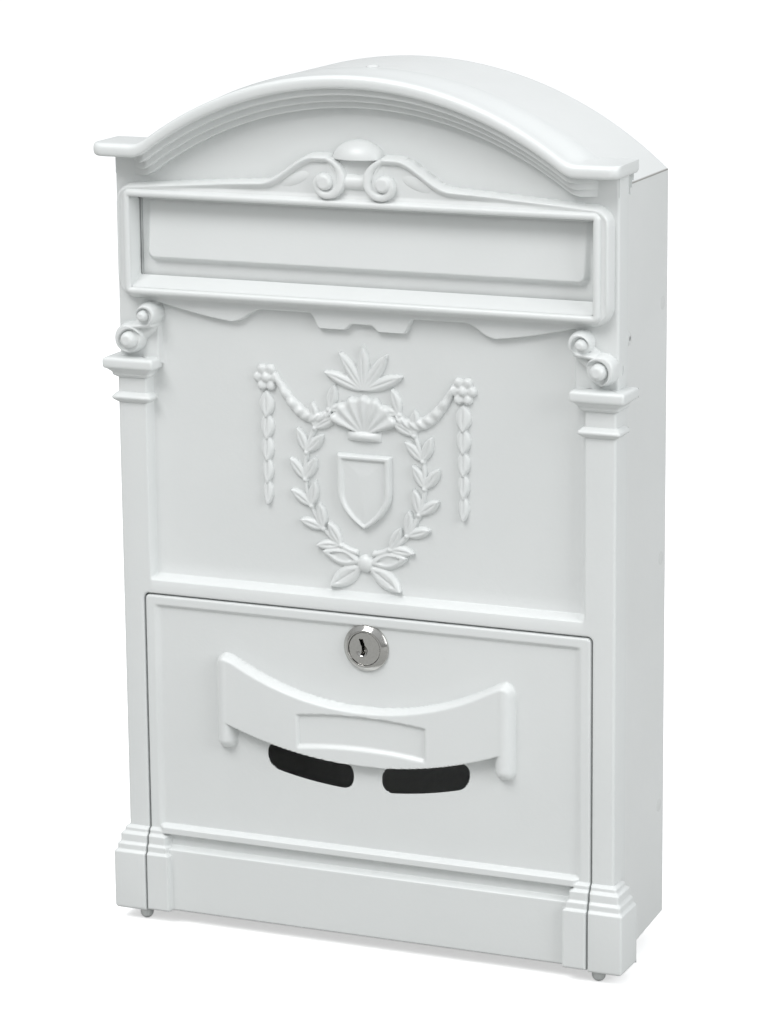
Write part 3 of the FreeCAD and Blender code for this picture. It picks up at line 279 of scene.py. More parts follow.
coatLook = {  # ranges are from low, from high, to start, to stop
    # painted shade: reach and range of the occlusion darkening in recesses
    "recessShadeReach": 0.006, "recessShadeRange": (0.35, 0.95, 1.0, 0.0), "speckRange": (0.3, 0.75, 0.35, 1.0),
    "driftRange": (0.35, 0.65, 0.0, 0.22), "glossRange": (0.3, 0.7, -0.05, 0.07),
    # painted shadow line along the seam
    "seamShadowRange": (0.0001, 0.0006, 0.75, 0.0), "seamShadowTone": (0.16, 0.14, 0.12, 1),
}


def coatGroup():
    # Sprayed satin coat: fine orange peel, broad tone drift, painted shade in the recesses broken up by
    # speckle and a painted shadow line along a level seam.
    look = coatLook
    floatKind, colourKind = "NodeSocketFloat", "NodeSocketColor"
    group, source, sink = newGroup(
        "satinCoat",
        [("Tone", colourKind, (0.8, 0.8, 0.8, 1)), ("Shade And Drift Tone", colourKind, (0.6, 0.6, 0.6, 1)),
         ("Gloss", floatKind, 0.4), ("Peel Size", floatKind, 700.0), ("Seam Height", floatKind, 9.0)],
        [("Colour", colourKind), ("Roughness", floatKind), ("Height", floatKind)])
    given, coords = source.outputs, objectCoords(group)
    peel = addNode(group, "ShaderNodeTexNoise", [("Vector", coords), ("Scale", given["Peel Size"])],
                   Detail=3.0, Roughness=0.55)
    drift = noise(group, coords, Scale=9.0, Detail=2.0)
    speck = noise(group, coords, Scale=160.0, Detail=4.0, Roughness=0.6)
    # painted shade: ambient occlusion darkens the coat in recesses, broken up by speckle; the random tone
    # drift adds to it
    hollow = addNode(group, "ShaderNodeAmbientOcclusion", Distance=look["recessShadeReach"],
                     samples=8).outputs["AO"]
    recessShade = maths(group, "MULTIPLY", ramp(group, hollow, *look["recessShadeRange"]),
                 ramp(group, speck, *look["speckRange"]))
    shadeAndDrift = maths(group, "ADD", recessShade, ramp(group, drift, *look["driftRange"]), use_clamp=True)
    # painted shadow: a thin dark line at the seam height stands for the shadow in the seam's gap
    rise = addNode(group, "ShaderNodeSeparateXYZ", [("Vector", coords)]).outputs["Z"]
    off = maths(group, "ABSOLUTE", maths(group, "SUBTRACT", rise, given["Seam Height"]))
    colour = blend(group, shadeAndDrift, given["Tone"], given["Shade And Drift Tone"])
    colour = blend(group, ramp(group, off, *look["seamShadowRange"]), colour, look["seamShadowTone"])
    gloss = maths(group, "ADD", given["Gloss"], ramp(group, speck, *look["glossRange"]))
    setNode(group, sink, [("Colour", colour), ("Roughness", gloss), ("Height", peel.outputs["Fac"])])
    return group


def newMaterial(name):
    made = bpy.data.materials.new(name)
    made.use_nodes = True
    return made, made.node_tree, made.node_tree.nodes["Principled BSDF"]


satinCoat = coatGroup()


def paint(name, look):
    made, tree, shader = newMaterial(name)
    coat = addNode(tree, "ShaderNodeGroup", node_tree=satinCoat)
    for label in ("Tone", "Shade And Drift Tone", "Gloss", "Peel Size", "Seam Height"):
        coat.inputs[label].default_value = look[label]
    bump = addNode(tree, "ShaderNodeBump", [("Height", coat.outputs["Height"])],
                   Strength=look["bump"], Distance=look["depth"])
    setNode(tree, shader, [("Base Color", coat.outputs["Colour"]), ("Roughness", coat.outputs["Roughness"]),
                           ("Normal", bump.outputs["Normal"])],
            Coat_Weight=look["coat"], Coat_Roughness=look["coatRoughness"])
    return made


slotLooks = {}
# each paint's second tone is mixed in as painted shade in recesses and as random tone drift
slotLooks["cast_paint"] = paint("castPaint", {
    "Tone": (0.80, 0.815, 0.81, 1), "Shade And Drift Tone": (0.66, 0.68, 0.675, 1), "Gloss": 0.42, "Peel Size": 620.0,
    "Seam Height": 9.0, "bump": 0.12, "depth": 0.0004, "coat": 0.25, "coatRoughness": 0.22})
# the sheet paint's seam height puts the painted shadow line on the seam between roof sheet and sides
slotLooks["sheet_paint"] = paint("sheetPaint", {
    "Tone": (0.79, 0.80, 0.795, 1), "Shade And Drift Tone": (0.62, 0.63, 0.62, 1), "Gloss": 0.46, "Peel Size": 900.0,
    "Seam Height": 0.1557, "bump": 0.16, "depth": 0.0003, "coat": 0.15, "coatRoughness": 0.3})
slotLooks["rivet_paint"] = paint("rivetPaint", {
    "Tone": (0.74, 0.75, 0.745, 1), "Shade And Drift Tone": (0.55, 0.56, 0.55, 1), "Gloss": 0.4, "Peel Size": 1500.0,
    "Seam Height": 9.0, "bump": 0.1, "depth": 0.0002, "coat": 0.15, "coatRoughness": 0.3})


def metal(name, look):
    # Bare metal: turning marks as fine noise in the gloss, with a little tarnish.
    made, tree, shader = newMaterial(name)
    marks = noise(tree, objectCoords(tree), Scale=look["markSize"], Detail=4.0, Roughness=0.6)
    setNode(tree, shader, [("Roughness", ramp(tree, marks, 0.3, 0.7, look["gloss"], look["dull"])),
                           ("Base Color", blend(tree, marks, look["tone"], look["tarnish"]))], Metallic=1.0)
    return made


slotLooks["lock_chrome"] = metal("lockChrome", {
    "tone": (0.64, 0.63, 0.61, 1), "tarnish": (0.50, 0.49, 0.47, 1), "markSize": 900.0, "gloss": 0.06,
    "dull": 0.18})
slotLooks["plain_steel"] = metal("plainSteel", {
    "tone": (0.60, 0.60, 0.62, 1), "tarnish": (0.42, 0.41, 0.40, 1), "markSize": 500.0, "gloss": 0.28,
    "dull": 0.5})

for part in frame["record"]["subparts"]:
    shown = nodes[part["node"]]
    shown.data.materials.clear()
    shown.data.materials.append(slotLooks[part["material_slot"]])
print("stage materials done")


# Cast surround: flat grounds, pilasters, cornice, cartouche, scrolls and relief

ground = {
    "legIn": 113.1, "doorTop": 157.5,                  # door opening
    "fieldHalf": 108.5, "fieldLow": 165.3,             # sunk panel
    "neckHalf": 103.1, "neckTop": 303.0,               # panel between the scroll consoles
    "capLevel": 268.5, "top": 371.0,
    "slotHalf": 115.0, "slotLow": 303.5, "slotTop": 349.0,  # open behind the cartouche
    "soft": 0.9, "sillSoft": 1.5, "edge": 1.4, "openingEdge": 0.9, "openingRound": 2.7,
    "closeStep": 0.45, "wideStepX": 5.0, "wideStepHeight": 7.0,  # grid
    # solid's faces kept behind
    "rearSeen": 67.3, "rearHalf": 122.0, "stopX": (106, 118), "stopHeight": (117, 129),
}


def groundReach(x, height):
    # Pilaster level, stepping back to the frieze above the capitals and to the sunk panel between the
    # pilasters.
    across, soft = np.abs(x), ground["soft"]
    above = passing(height - ground["fieldLow"], ground["sillSoft"])
    wide = passing(ground["fieldHalf"] - across, soft) * passing(ground["capLevel"] - height, soft)
    neck = passing(ground["neckHalf"] - across, soft) * passing(ground["neckTop"] - height, soft)
    level = mix(whole["front"], whole["face"], passing(height - ground["capLevel"], soft))
    return mix(level, whole["field"], np.maximum(wide, neck) * above)


def cornerPull(x, height, half, top, radius):
    # Draws the square upper corners at (half, top) onto quarter circles; the pull fades out beyond them.
    u, v = np.abs(x) - half + radius, height - top + radius
    far, near = np.maximum(u, v), np.minimum(u, v) > 0
    fade = np.clip(1.5 - far / radius / 2, 0, 1) * near
    share = 1 + (far / np.maximum(np.hypot(u, v), 1e-9) - 1) * fade
    x = np.where(near, np.sign(x) * (half - radius + u * share), x)
    return x, np.where(near, top - radius + v * share, height)


def frameFace():
    # Ground reach less a quarter-round at the outer edges and round the door opening, whose cells are
    # left out.
    legIn, doorTop = ground["legIn"], ground["doorTop"]
    openEdge, openRound = ground["openingEdge"], ground["openingRound"]
    half, soft, close, tall = whole["half"], ground["soft"], ground["closeStep"], ground["wideStepHeight"]
    xs = bothSides(lines(
        edgeLines(half, -1, ground["edge"]), edgeLines(legIn, 1, openEdge), (legIn - openRound, legIn, close),
        around(ground["fieldHalf"], soft), around(ground["neckHalf"], soft),
        (0.0, ground["slotHalf"], ground["wideStepX"])))
    heights = lines(
        edgeLines(doorTop, 1, openEdge), (doorTop - openRound, doorTop, close),
        around(ground["fieldLow"], ground["sillSoft"]), around(ground["capLevel"], soft),
        around(ground["neckTop"], soft), (0.0, ground["slotLow"] + 1, tall),
        (ground["slotTop"] - 1, ground["top"], tall))
    x, height = np.meshgrid(xs, heights)
    outside = np.maximum(np.abs(x) - legIn, height - doorTop)
    reach = groundReach(x, height) - rounding(half - np.abs(x), ground["edge"])
    reach = reach - rounding(np.maximum(outside, 0), openEdge)
    slot = (np.abs(x) <= ground["slotHalf"]) & (height > ground["slotLow"]) & (height < ground["slotTop"])
    back = np.where(np.abs(x) > half - 2, whole["joint"], whole["plate"])
    x, height = cornerPull(x, height, legIn, doorTop, openRound)
    return relief(x, height, reach, (centres(outside) > 0) & ~(slot[:-1, :-1] & slot[1:, 1:]), back)


cornice = {
    "earTop": 372.4, "crown": 407.6, "radius": 173.5, "mitre": 3.0,  # ears and arch line
    "nose": 84.6, "noseThick": 6.1, "noseOver": 4.6,                 # bullnose
    "stepReach": 81.0, "stepDrop": 3.2, "stepBack": 3.5, "stepInset": 0.15, "stepFrom": 103.0,
    "stepEnd": 115.0,
    "noseRound": 2.9, "stepRound": 0.8, "stepCount": 3, "cornerRound": 4.6, "cornerPoints": 7,
    "shareRuns": [(0.0, 0.72, 0.02), (0.72, 0.90, 0.006), (0.90, 1.0, 0.02)],  # grid along ears and arch
    "tympanumHalf": 122, "tympanumUnder": 4, "tympanumStep": 4,
    # slope up to the roof
    "roofCrown": 408.4, "roofHalf": 122.8, "roofRise": 47.6, "meetFrom": 79.0, "meetTo": 60.0,
}


def corniceTop(x):  # ear level and arch, joined by a soft mitre
    arch = cornice["crown"] - cornice["radius"] + np.sqrt(np.maximum(cornice["radius"] ** 2 - x * x, 0))
    return softMax(arch, cornice["earTop"], cornice["mitre"])


def roofLift(x):  # how far the roof sheet stands above the arch
    radius = (cornice["roofHalf"] ** 2 + cornice["roofRise"] ** 2) / (2 * cornice["roofRise"])
    sheet = cornice["roofCrown"] + 0.1 - radius + np.sqrt(np.maximum(radius ** 2 - x * x, 0))
    return np.maximum(sheet - corniceTop(x), 0) * (np.abs(x) < cornice["roofHalf"])


def softProfile(points, radii, count=6):
    # Open line through the points, with each inner corner replaced by a parabola as long as its radius
    # allows.
    points = np.array(points, float)
    corner = points[1:-1]
    toBefore, toAfter = points[:-2] - corner, points[2:] - corner
    before = np.linalg.norm(toBefore, axis=1, keepdims=True)
    after = np.linalg.norm(toAfter, axis=1, keepdims=True)
    radii = np.broadcast_to(np.asarray(radii, float), (len(corner),))[:, None]
    start = corner + toBefore / before * np.minimum(radii, before * 0.49)
    stop = corner + toAfter / after * np.minimum(radii, after * 0.49)
    t = np.linspace(0, 1, count)[:, None]
    curve = start[:, None] * (1 - t) ** 2 + corner[:, None] * 2 * t * (1 - t) + stop[:, None] * t * t
    return np.concatenate([points[:1], curve.reshape(-1, points.shape[1]), points[-1:]])


def corniceSkin():
    # Profile of (drop, reach, overhang) carried along ears and arch, with rounded corners and returns
    # to the seam.
    look, lap, thick = cornice, cornice["noseOver"], cornice["noseThick"]
    inset, fall = -look["stepInset"], look["stepDrop"]
    corners = [(0, look["meetFrom"], lap), (0, look["nose"], lap), (thick, look["nose"], lap)]
    radii = [look["noseRound"], look["noseRound"]]
    for step in range(look["stepCount"]):
        drop = thick + fall * step
        reach = look["stepReach"] - look["stepBack"] * step
        corners += [(drop, reach, inset), (drop + fall, reach, inset)]
        radii += [look["stepRound"] * 0.5, look["stepRound"]]
    corners.append((thick + fall * look["stepCount"], whole["face"] - 0.5, inset))
    back = steps(whole["joint"] - 0.5, look["meetFrom"], 3.0)[:-1, None]
    profile = np.concatenate([back * [0, 1, 0] + [0, 0, lap],
                              softProfile(corners, radii, look["cornerPoints"])])
    drop, reach, over = (profile[:, k:k + 1] for k in range(3))
    end = whole["half"] + over
    turn = np.clip(reach - whole["joint"], 0, look["cornerRound"])
    phi = np.linspace(0, np.pi / 2, look["cornerPoints"])[1:]
    share = bothSides(lines(*look["shareRuns"]))
    sideX = end - turn * (1 - np.sin(phi))
    sideReach = reach - turn * (1 - np.cos(phi))
    x = np.hstack([-end, -sideX[:, ::-1], share * (end - turn), sideX, end])
    seam = np.full_like(end, whole["joint"])
    reach = np.hstack([seam, sideReach[:, ::-1], reach + 0 * share, sideReach, seam])
    # steps die out towards the ears' ends
    fade = ease(look["stepEnd"], look["stepFrom"], np.abs(x)) + (over > 0)
    level = whole["face"] - 0.3
    reach = np.where(reach > level, mix(level, reach, np.minimum(fade, 1)), reach)
    lift = roofLift(x) * ease(look["meetFrom"], look["meetTo"], reach) * (drop < 0.01)
    return skin(x, reach, corniceTop(x) - drop + lift, (0, 60, 330))


def tympanum():
    # Flat sheet whose rows rise from the frieze to just under the arch line.
    half, low = cornice["tympanumHalf"], ground["top"]
    x, rise = np.meshgrid(steps(-half, half, cornice["tympanumStep"]), steps(0, 1, 0.1))
    height = mix(low, corniceTop(x) - cornice["tympanumUnder"], rise)
    return skin(x, np.full_like(x, whole["face"]), height, (0, 60, 360))


pilaster = {
    "plinth": [(0, -9), (0, 5.9), (28.6, 5.9), (29.8, 4.6), (32.3, 4.6), (33.5, 3.4), (37.2, 3.4),
               (38.4, 1.8), (40.0, 1.8), (41.2, 0.2), (41.4, -1)],                      # height and overhang
    "plinthRound": [1.8, 0.5, 0.5, 0.5, 0.5, 0.5, 0.5, 0.5, 0.5],
    "bead": [(249.0, -0.8), (249.4, 0.5), (251.7, 3.1), (254.0, 0.5), (254.4, -0.8)],
    "beadRound": [0.4, 2.2, 0.4],
    "capital": [(260.8, -0.8), (261.2, 0.3), (262.4, 2.0), (263.6, 2.0), (265.5, 4.0), (266.1, 5.4),
                (271.0, 5.4), (271.0, -7)],
    "capitalRound": [0.4, 0.5, 0.8, 0.5, 1.5, 1.9],
    "outerRound": 1.2, "innerRound": 1.2, "seam": 62.9,
}


def pilasterRing(corners, radii, inner, lean, innerBack, side):
    # Profile of (height, overhang) carried round the free sides of a pilaster, with rounded upright corners.
    profile = softProfile(corners, radii)
    height, over = profile[:, :1], profile[:, 1:]
    phi = np.linspace(0, np.pi / 2, 7)
    start, stop = inner - over * lean, whole["half"] + over
    front = whole["front"] + over
    near, far = pilaster["innerRound"], pilaster["outerRound"]
    x = np.hstack([start, start + near * (1 - np.cos(phi)), stop - far * (1 - np.sin(phi)), stop])
    reach = np.hstack([0 * over + innerBack, front - near * (1 - np.sin(phi)),
                       front - far * (1 - np.cos(phi)),
                       pilaster["seam"] - np.where(over < -1, over.max(), over)])
    middle = (side * (inner + whole["half"]) / 2, 66.0, (height.min() + height.max()) / 2)
    return skin(x * side, reach, height + 0 * x, middle)


def pilasterRings():
    legIn, fieldHalf = ground["legIn"] - 0.04, ground["fieldHalf"]
    kinds = (("plinth", legIn, 0, 60.0), ("bead", fieldHalf, 1, 66.0), ("capital", fieldHalf, 1, 66.0))
    return [pilasterRing(pilaster[kind], pilaster[kind + "Round"], inner, lean, back, side)
            for side in (1, -1) for kind, inner, lean, back in kinds]


def frameRear():
    # The hollow, the tongue and the flap's room, as the solid has them, without the flat sides beside
    # the door.
    def choose(x, reach, height, towardsWall):
        across = np.abs(x)
        inner = (across < ground["rearHalf"]) | (towardsWall > 0.9)
        (inX, outX), (low, top) = ground["stopX"], ground["stopHeight"]
        doorStop = (across > inX) & (across < outX) & (height > low) & (height < top)
        cheek = (np.abs(across - ground["legIn"]) < 0.03).all(1, keepdims=True)
        return (reach < ground["rearSeen"]) & inner & ((towardsWall > -0.3) | doorStop) & ~cheek
    return cadFaces("front_frame", choose)


def doorCheeks():
    # Flat inner sides of the legs beside the door, a hair within the metal.
    reach, height = np.meshgrid(np.linspace(whole["joint"] + 0.3, whole["front"] - 1.6, 5),
                                np.linspace(0.3, ground["doorTop"] - 0.5, 30))
    x = ground["legIn"] + 0.05 + 0 * reach
    return [skin(side * x, reach, height, (side * 118, 64, 78)) for side in (1, -1)]


def hingeNubs():
    # Round feet under the plinths: a half circle turned about an upright axis.
    look = {"x": 116.3, "reach": 70.5, "radius": 3.2, "low": -5.9, "top": 1.0}
    phi, turn = np.linspace(0, np.pi / 2, 9), np.linspace(0, 2 * np.pi, 33)
    radius = np.append(look["radius"] * np.sin(phi), look["radius"])[:, None]
    height = np.append(look["low"] + look["radius"] * (1 - np.cos(phi)), look["top"])[:, None] + 0 * turn
    x, reach = radius * np.cos(turn), look["reach"] + radius * np.sin(turn)
    return [skin(look["x"] * side + x, reach, height, (look["x"] * side, look["reach"], -1))
            for side in (1, -1)]


cartouche = {
    "proud": 74.6, "half": 121.8, "edge": 1.7, "notchIn": 6.0, "notchOut": 13.5, "notchDeep": 8.5,
    "cord": 1.9, "cordProud": 1.7,
    "humpTop": 370.8, "humpHalf": 20.0, "footHalf": 47.5, "footTop": 357.8, "cornerTop": 353.2,
    "cornerHalf": 113.3,
    "topRound": 8.5, "lowRound": 10.0, "low": 298.8, "apronLow": 288.6, "apronHalf": 66.0, "apronBlend": 6.0,
    "apronFoot": 110.5, "apronIn": 50.0, "apronFlat": 296.6, "apron": 69.6,
    "tabHalf": 23.4, "tabSoft": 2.4, "tabShort": 1.1, "notch": 2.8,  # middle of the apron
    "slotHalf": 113.7, "slotLow": 304.9, "slotTop": 346.9, "rim": 3.6, "rimProud": 1.7,
    "mouth": 67.0, "mouthHalf": 112.8, "mouthLow": 309.7, "mouthRound": 0.8, "cove": 0.7,
    "lip": 0.5, "lipIn": 1.9, "lipWide": 1.1, "lipFrom": (301, 312), "coveSoft": 2.5, "coveFrom": (1.0, 4.0),
    "cordIn": (9, 15), "cordOut": (46, 84), "cordFrom": (351, 356), "tabNotch": (4.5, 8.5),
    "underX": (119.0, 108.0),
    "gridLow": 286.5, "gridTop": 374.0, "gridX": 0.6, "gridEnd": 0.3, "gridHeight": 0.42, "gridSlot": 3.0,
}


def cartoucheInside(x, height):
    # Distance in from the outline: under the hump and sloping shoulders, above the apron, with rounded
    # corners.
    look, across = cartouche, np.abs(x)
    shoulder = (look["cornerTop"] - look["footTop"]) / (look["cornerHalf"] - look["footHalf"])
    top = look["footTop"] + np.maximum(across - look["footHalf"], 0) * shoulder
    top = top + (look["humpTop"] - look["footTop"]) * (1 - ease(look["humpHalf"], look["footHalf"], across))
    # open between the volutes
    top = top - look["notchDeep"] * (1 - ease(look["notchIn"], look["notchOut"], across))
    apron = (look["low"] - look["apronLow"]) / (look["apronFoot"] - look["apronHalf"])
    low = look["apronLow"] + (across - look["apronHalf"]) * apron
    flat, drop = look["apronFlat"], look["apronFlat"] - look["apronLow"]
    low = softMax(low, flat - drop * ease(look["apronIn"], look["apronHalf"] + 1, across), look["apronBlend"])
    tab = 1 - ease(look["tabHalf"] - look["tabSoft"], look["tabHalf"] + look["tabSoft"], across)
    low = low - (drop - look["tabShort"]) * tab + look["notch"] * (1 - ease(*look["tabNotch"], across))
    slopeTop = np.gradient(top, axis=1) / np.gradient(x, axis=1)
    slopeLow = np.gradient(low, axis=1) / np.gradient(x, axis=1)
    inside = np.minimum((top - height) / np.hypot(1, slopeTop), (height - low) / np.hypot(1, slopeLow))
    inside = np.minimum(inside, look["half"] - across)
    topX, topZ = across - look["half"] + look["topRound"], height - look["cornerTop"] + look["topRound"]
    lowX, lowZ = across - look["half"] + look["lowRound"], look["low"] + look["lowRound"] - height
    inside = np.where((topX > 0) & (topZ > 0), look["topRound"] - np.hypot(topX, topZ), inside)
    return np.where((lowX > 0) & (lowZ > 0), look["lowRound"] - np.hypot(lowX, lowZ), inside)


def slotOutside(x, height):  # distance out of the letter slot
    ex = np.abs(x) - cartouche["slotHalf"]
    ez = np.maximum(cartouche["slotLow"] - height, height - cartouche["slotTop"])
    return np.where((ex > 0) & (ez > 0), np.hypot(ex, ez), np.maximum(ex, ez))


def cartoucheFace():
    # Plate with an elliptical edge and a thin lip, a shallow cove, and a half-round rim about the slot.
    look = cartouche
    stepX, stepUp = look["gridX"], look["gridHeight"]
    xs = bothSides(lines((0.0, 108.0, stepX), (108.0, look["slotHalf"], stepX),
                         (look["slotHalf"], look["half"] + stepX, look["gridEnd"])))
    heights = lines((look["gridLow"], look["slotLow"], stepUp),
                    (look["slotLow"], look["slotTop"], look["gridSlot"]),
                    (look["slotTop"], look["gridTop"], stepUp))
    x, height = np.meshgrid(xs, heights)
    across, inside, outside = np.abs(x), cartoucheInside(x, height), slotOutside(x, height)
    lip = look["lip"] * np.exp(-((inside - look["lipIn"]) / look["lipWide"]) ** 2)
    lip = lip * ease(*look["lipFrom"], height)
    hump = ease(*look["cordIn"], across) * (1 - ease(*look["cordOut"], across))
    hump = hump * ease(*look["cordFrom"], height)
    cord = look["cordProud"] * halfRound(inside - look["cord"], look["cord"]) * hump
    rim = look["rimProud"] * halfRound(outside - look["rim"] / 2, look["rim"] / 2)
    cove = look["cove"] * ease(0, look["coveSoft"], outside - look["rim"]) * ease(*look["coveFrom"], inside)
    base = groundReach(x, height) - 0.5
    rimFoot = look["slotLow"] - look["rim"]
    under = ease(rimFoot + 0.5, rimFoot - 2.2, height) * ease(*look["underX"], across)
    level = look["proud"] - cove - (look["proud"] - look["apron"] - cove) * under
    reach = mix(base, level, softStep(inside, look["edge"] * (1 - 0.65 * under)))
    reach = reach + np.maximum(lip * softStep(inside, look["edge"]), cord) + rim
    keep = (centres(outside) > 0) & (np.maximum(inside[:-1, :-1], inside[1:, 1:]) > -1.5)
    return relief(x, height, reach, keep, reach - 0.05)


def slotReveal():
    # Slot edge drawn back to the smaller mouth with a rising sill: rounded rectangles in rows.
    look = cartouche
    back = np.linspace(0, 1, 6)[:, None]
    half = mix(look["slotHalf"], look["mouthHalf"], back)
    low = mix(look["slotLow"], look["mouthLow"], back)
    soft, phi = look["mouthRound"], np.linspace(0, np.pi / 2, 4)
    arcX, arcZ = half - soft + soft * np.cos(phi), soft * np.sin(phi)
    rightLow, rightTop = low + soft - arcZ[::-1], look["slotTop"] - soft + arcZ
    x = np.hstack([arcX[:, ::-1], arcX, -arcX[:, ::-1], -arcX, arcX[:, -1:]])
    height = np.hstack([rightLow, 0 * half + rightTop, 0 * half + rightTop[::-1], rightLow[:, ::-1],
                        rightLow[:, :1]])
    reach = mix(look["proud"] + 0.2, look["mouth"], back)
    points, quads = skin(x, reach + 0 * x, height, (0, 70.8, 327))
    return points, quads[:, ::-1]


def halfRound(distance, width):  # height of a unit half circle across a band
    return np.sqrt(np.clip(1 - (distance / width) ** 2, 0, 1))


def softStep(distance, width):  # 0 outside to 1 inside an edge, elliptical
    return np.sqrt(np.clip(1 - (1 - np.clip(distance / width, 0, 1)) ** 2, 0, 1))


def volute(x, height, look):
    # Cord that curls in from the top about an eye: its radius shrinks with the turn and it is half
    # round across.
    across, rise = np.abs(x) - look["x"], height - look["height"]
    radius = np.hypot(across, rise)
    turn = np.mod(np.arctan2(rise, across) / (2 * np.pi) - 0.25, 1)
    middle = look["radius"] - look["shrink"] * (turn / 0.75) ** look["curl"]
    width = look["cord"] * (0.55 + 0.45 * ease(0, 0.2, turn)) * (1 - 0.3 * turn)
    disc = mix(look["plate"], look["disc"], ease(0, 0.35, turn))
    inside = middle + width - radius
    form = disc + look["cordProud"] * halfRound(radius - middle, width)
    form = np.where(inside > 0, mix(look["base"], form, softStep(inside, 0.6)), 0)
    eye = look["disc"] + look["eyeProud"] * softStep(look["eye"] - radius, look["eyeEdge"])
    return raised(form, radius < look["eye"], eye)


scrolls = {
    "x": 14.3, "height": 358.3, "radius": 10.6, "shrink": 6.6, "curl": 0.8, "cord": 2.45, "cordProud": 1.5,
    "base": 67.0, "plate": 74.2, "disc": 75.8, "eye": 3.8, "eyeEdge": 1.5, "eyeProud": 2.4,
    "capHeight": 368.4, "capRise": 9.0, "capHalf": 12.6, "capReach": 8.5,
    "barHalf": 8.0, "barHeight": 358.4, "barRound": 3.6, "bar": 72.6, "barProud": 3.2,
    "web": 73.0, "webHalf": 12.5,
    "gridX": (-46, 46, 0.36), "gridHeight": (345.5, 378.0, 0.36),
    "leafX": 30.0, "leafHeight": 359.0, "leafLong": 8.0, "leafShort": 3.0, "leafProud": 0.7, "leafLean": 0.35,
}


def centreScrolls():
    # Two volutes, the half dome between them, the bar and web that join them and a soft leaf on each
    # shoulder.
    look = scrolls
    x, height = np.meshgrid(steps(*look["gridX"]), steps(*look["gridHeight"]))
    across, rise = np.abs(x), height - look["capHeight"]
    inDome = 1 - (x / look["capHalf"]) ** 2 - (rise / look["capRise"]) ** 2
    dome = whole["face"] + look["capReach"] * np.sqrt(np.clip(inDome, 0, 1)) * ease(-0.5, 0.4, rise)
    form = raised(volute(x, height, look), (rise > -0.6) & (inDome > 0), dome)
    up = height - look["barHeight"]
    bar = look["bar"] + look["barProud"] * halfRound(up, look["barRound"])
    form = raised(form, (across < look["barHalf"]) & (np.abs(up) < look["barRound"]), bar)
    form = raised(form, (across < look["webHalf"]) & (up > 0) & (rise < 0), look["web"])
    out, over, lean = across - look["leafX"], height - look["leafHeight"], look["leafLean"]
    along = out * np.cos(lean) - over * np.sin(lean)
    beside = out * np.sin(lean) + over * np.cos(lean)
    leaf = 1 - (along / look["leafLong"]) ** 2 - (beside / look["leafShort"]) ** 2
    form = raised(form, leaf > 0, cartouche["proud"] - 0.8 + look["leafProud"] * np.clip(leaf, 0, 1))
    level = np.where(cartoucheInside(x, height) > 1.0, cartouche["proud"] - 1.2, whole["face"] - 0.6)
    return patch(x, height, form, level)


console = {
    "upper": {"x": 107.1, "height": 291.7, "radius": 5.9, "level": 76.0, "hole": (107.9, 290.9),
              "holeRadius": 3.9, "sink": 1.6, "eye": (108.3, 291.4), "eyeRadius": 2.7, "eyeTop": 78.0},
    "lower": {"x": 116.9, "height": 280.1, "radius": 7.6, "level": 75.4, "hole": (115.4, 278.9),
              "holeRadius": 5.6, "sink": 1.8, "eye": (116.3, 279.6), "eyeRadius": 4.0, "eyeTop": 77.8},
    "tailFrom": (105.0, 287.0), "tailTo": (114.5, 285.8), "tailHalf": 2.0, "tail": 75.2,
    "massFrom": (109.0, 286.5), "massTo": (116.5, 280.0), "massHalf": 5.5, "mass": 72.2,
    "foot": 66.0, "soft": 1.8, "holeSoft": 0.6, "eyeTall": 4.5, "massSoft": 3.0, "tailFoot": 2,
    "gridX": (99.0, 123.8, 0.31), "gridHeight": (270.5, 299.0, 0.3),
    "sideAt": 124.3, "sideRound": 2.0, "sideFall": 1.5, "sideWall": 123,
}


def knob(across, height, look):
    # Rounded disc with an off-centre round hollow, in which a domed eye stands.
    away = np.hypot(across - look["x"], height - look["height"])
    foot, holeSoft, eyeTall = console["foot"], console["holeSoft"], console["eyeTall"]
    form = mix(foot, look["level"], softStep(look["radius"] - away, console["soft"]))
    hole = np.hypot(across - look["hole"][0], height - look["hole"][1])
    form = form - look["sink"] * ease(look["holeRadius"] + holeSoft, look["holeRadius"] - holeSoft, hole)
    eyeAway = np.hypot(across - look["eye"][0], height - look["eye"][1])
    eye = look["eyeTop"] - eyeTall + eyeTall * softStep(look["eyeRadius"] - eyeAway, look["eyeRadius"] * 0.6)
    return raised(np.where(away < look["radius"], form, 0), eyeAway < look["eyeRadius"], eye)


def bandDistance(x, height, start, stop):  # distance to a straight line between two places
    run = np.array(stop) - np.array(start)
    t = np.clip(((x - start[0]) * run[0] + (height - start[1]) * run[1]) / (run @ run), 0, 1)
    return np.hypot(x - start[0] - run[0] * t, height - start[1] - run[1] * t)


def sideConsole(side):
    # S-scroll on a capital: a low and a high knob on a soft mass, joined by a short roll.
    look, foot = console, console["foot"]
    across, height = np.meshgrid(steps(*look["gridX"]), steps(*look["gridHeight"]))
    if side < 0:
        across = across[:, ::-1]
    form = np.maximum(knob(across, height, look["lower"]), knob(across, height, look["upper"]))
    away = bandDistance(across, height, look["massFrom"], look["massTo"])
    form = raised(form, away < look["massHalf"],
                  mix(foot, look["mass"], softStep(look["massHalf"] - away, look["massSoft"])))
    away = bandDistance(across, height, look["tailFrom"], look["tailTo"])
    tail = mix(foot + look["tailFoot"], look["tail"], halfRound(away, look["tailHalf"]))
    form = raised(form, away < look["tailHalf"], tail)
    form = form - rounding(look["sideAt"] - across, look["sideRound"]) * look["sideFall"]
    level = np.where(across < ground["neckHalf"] + 0.5, whole["field"], whole["face"]) - 0.5
    return patch(across * side, height, form, level, across > look["sideWall"])


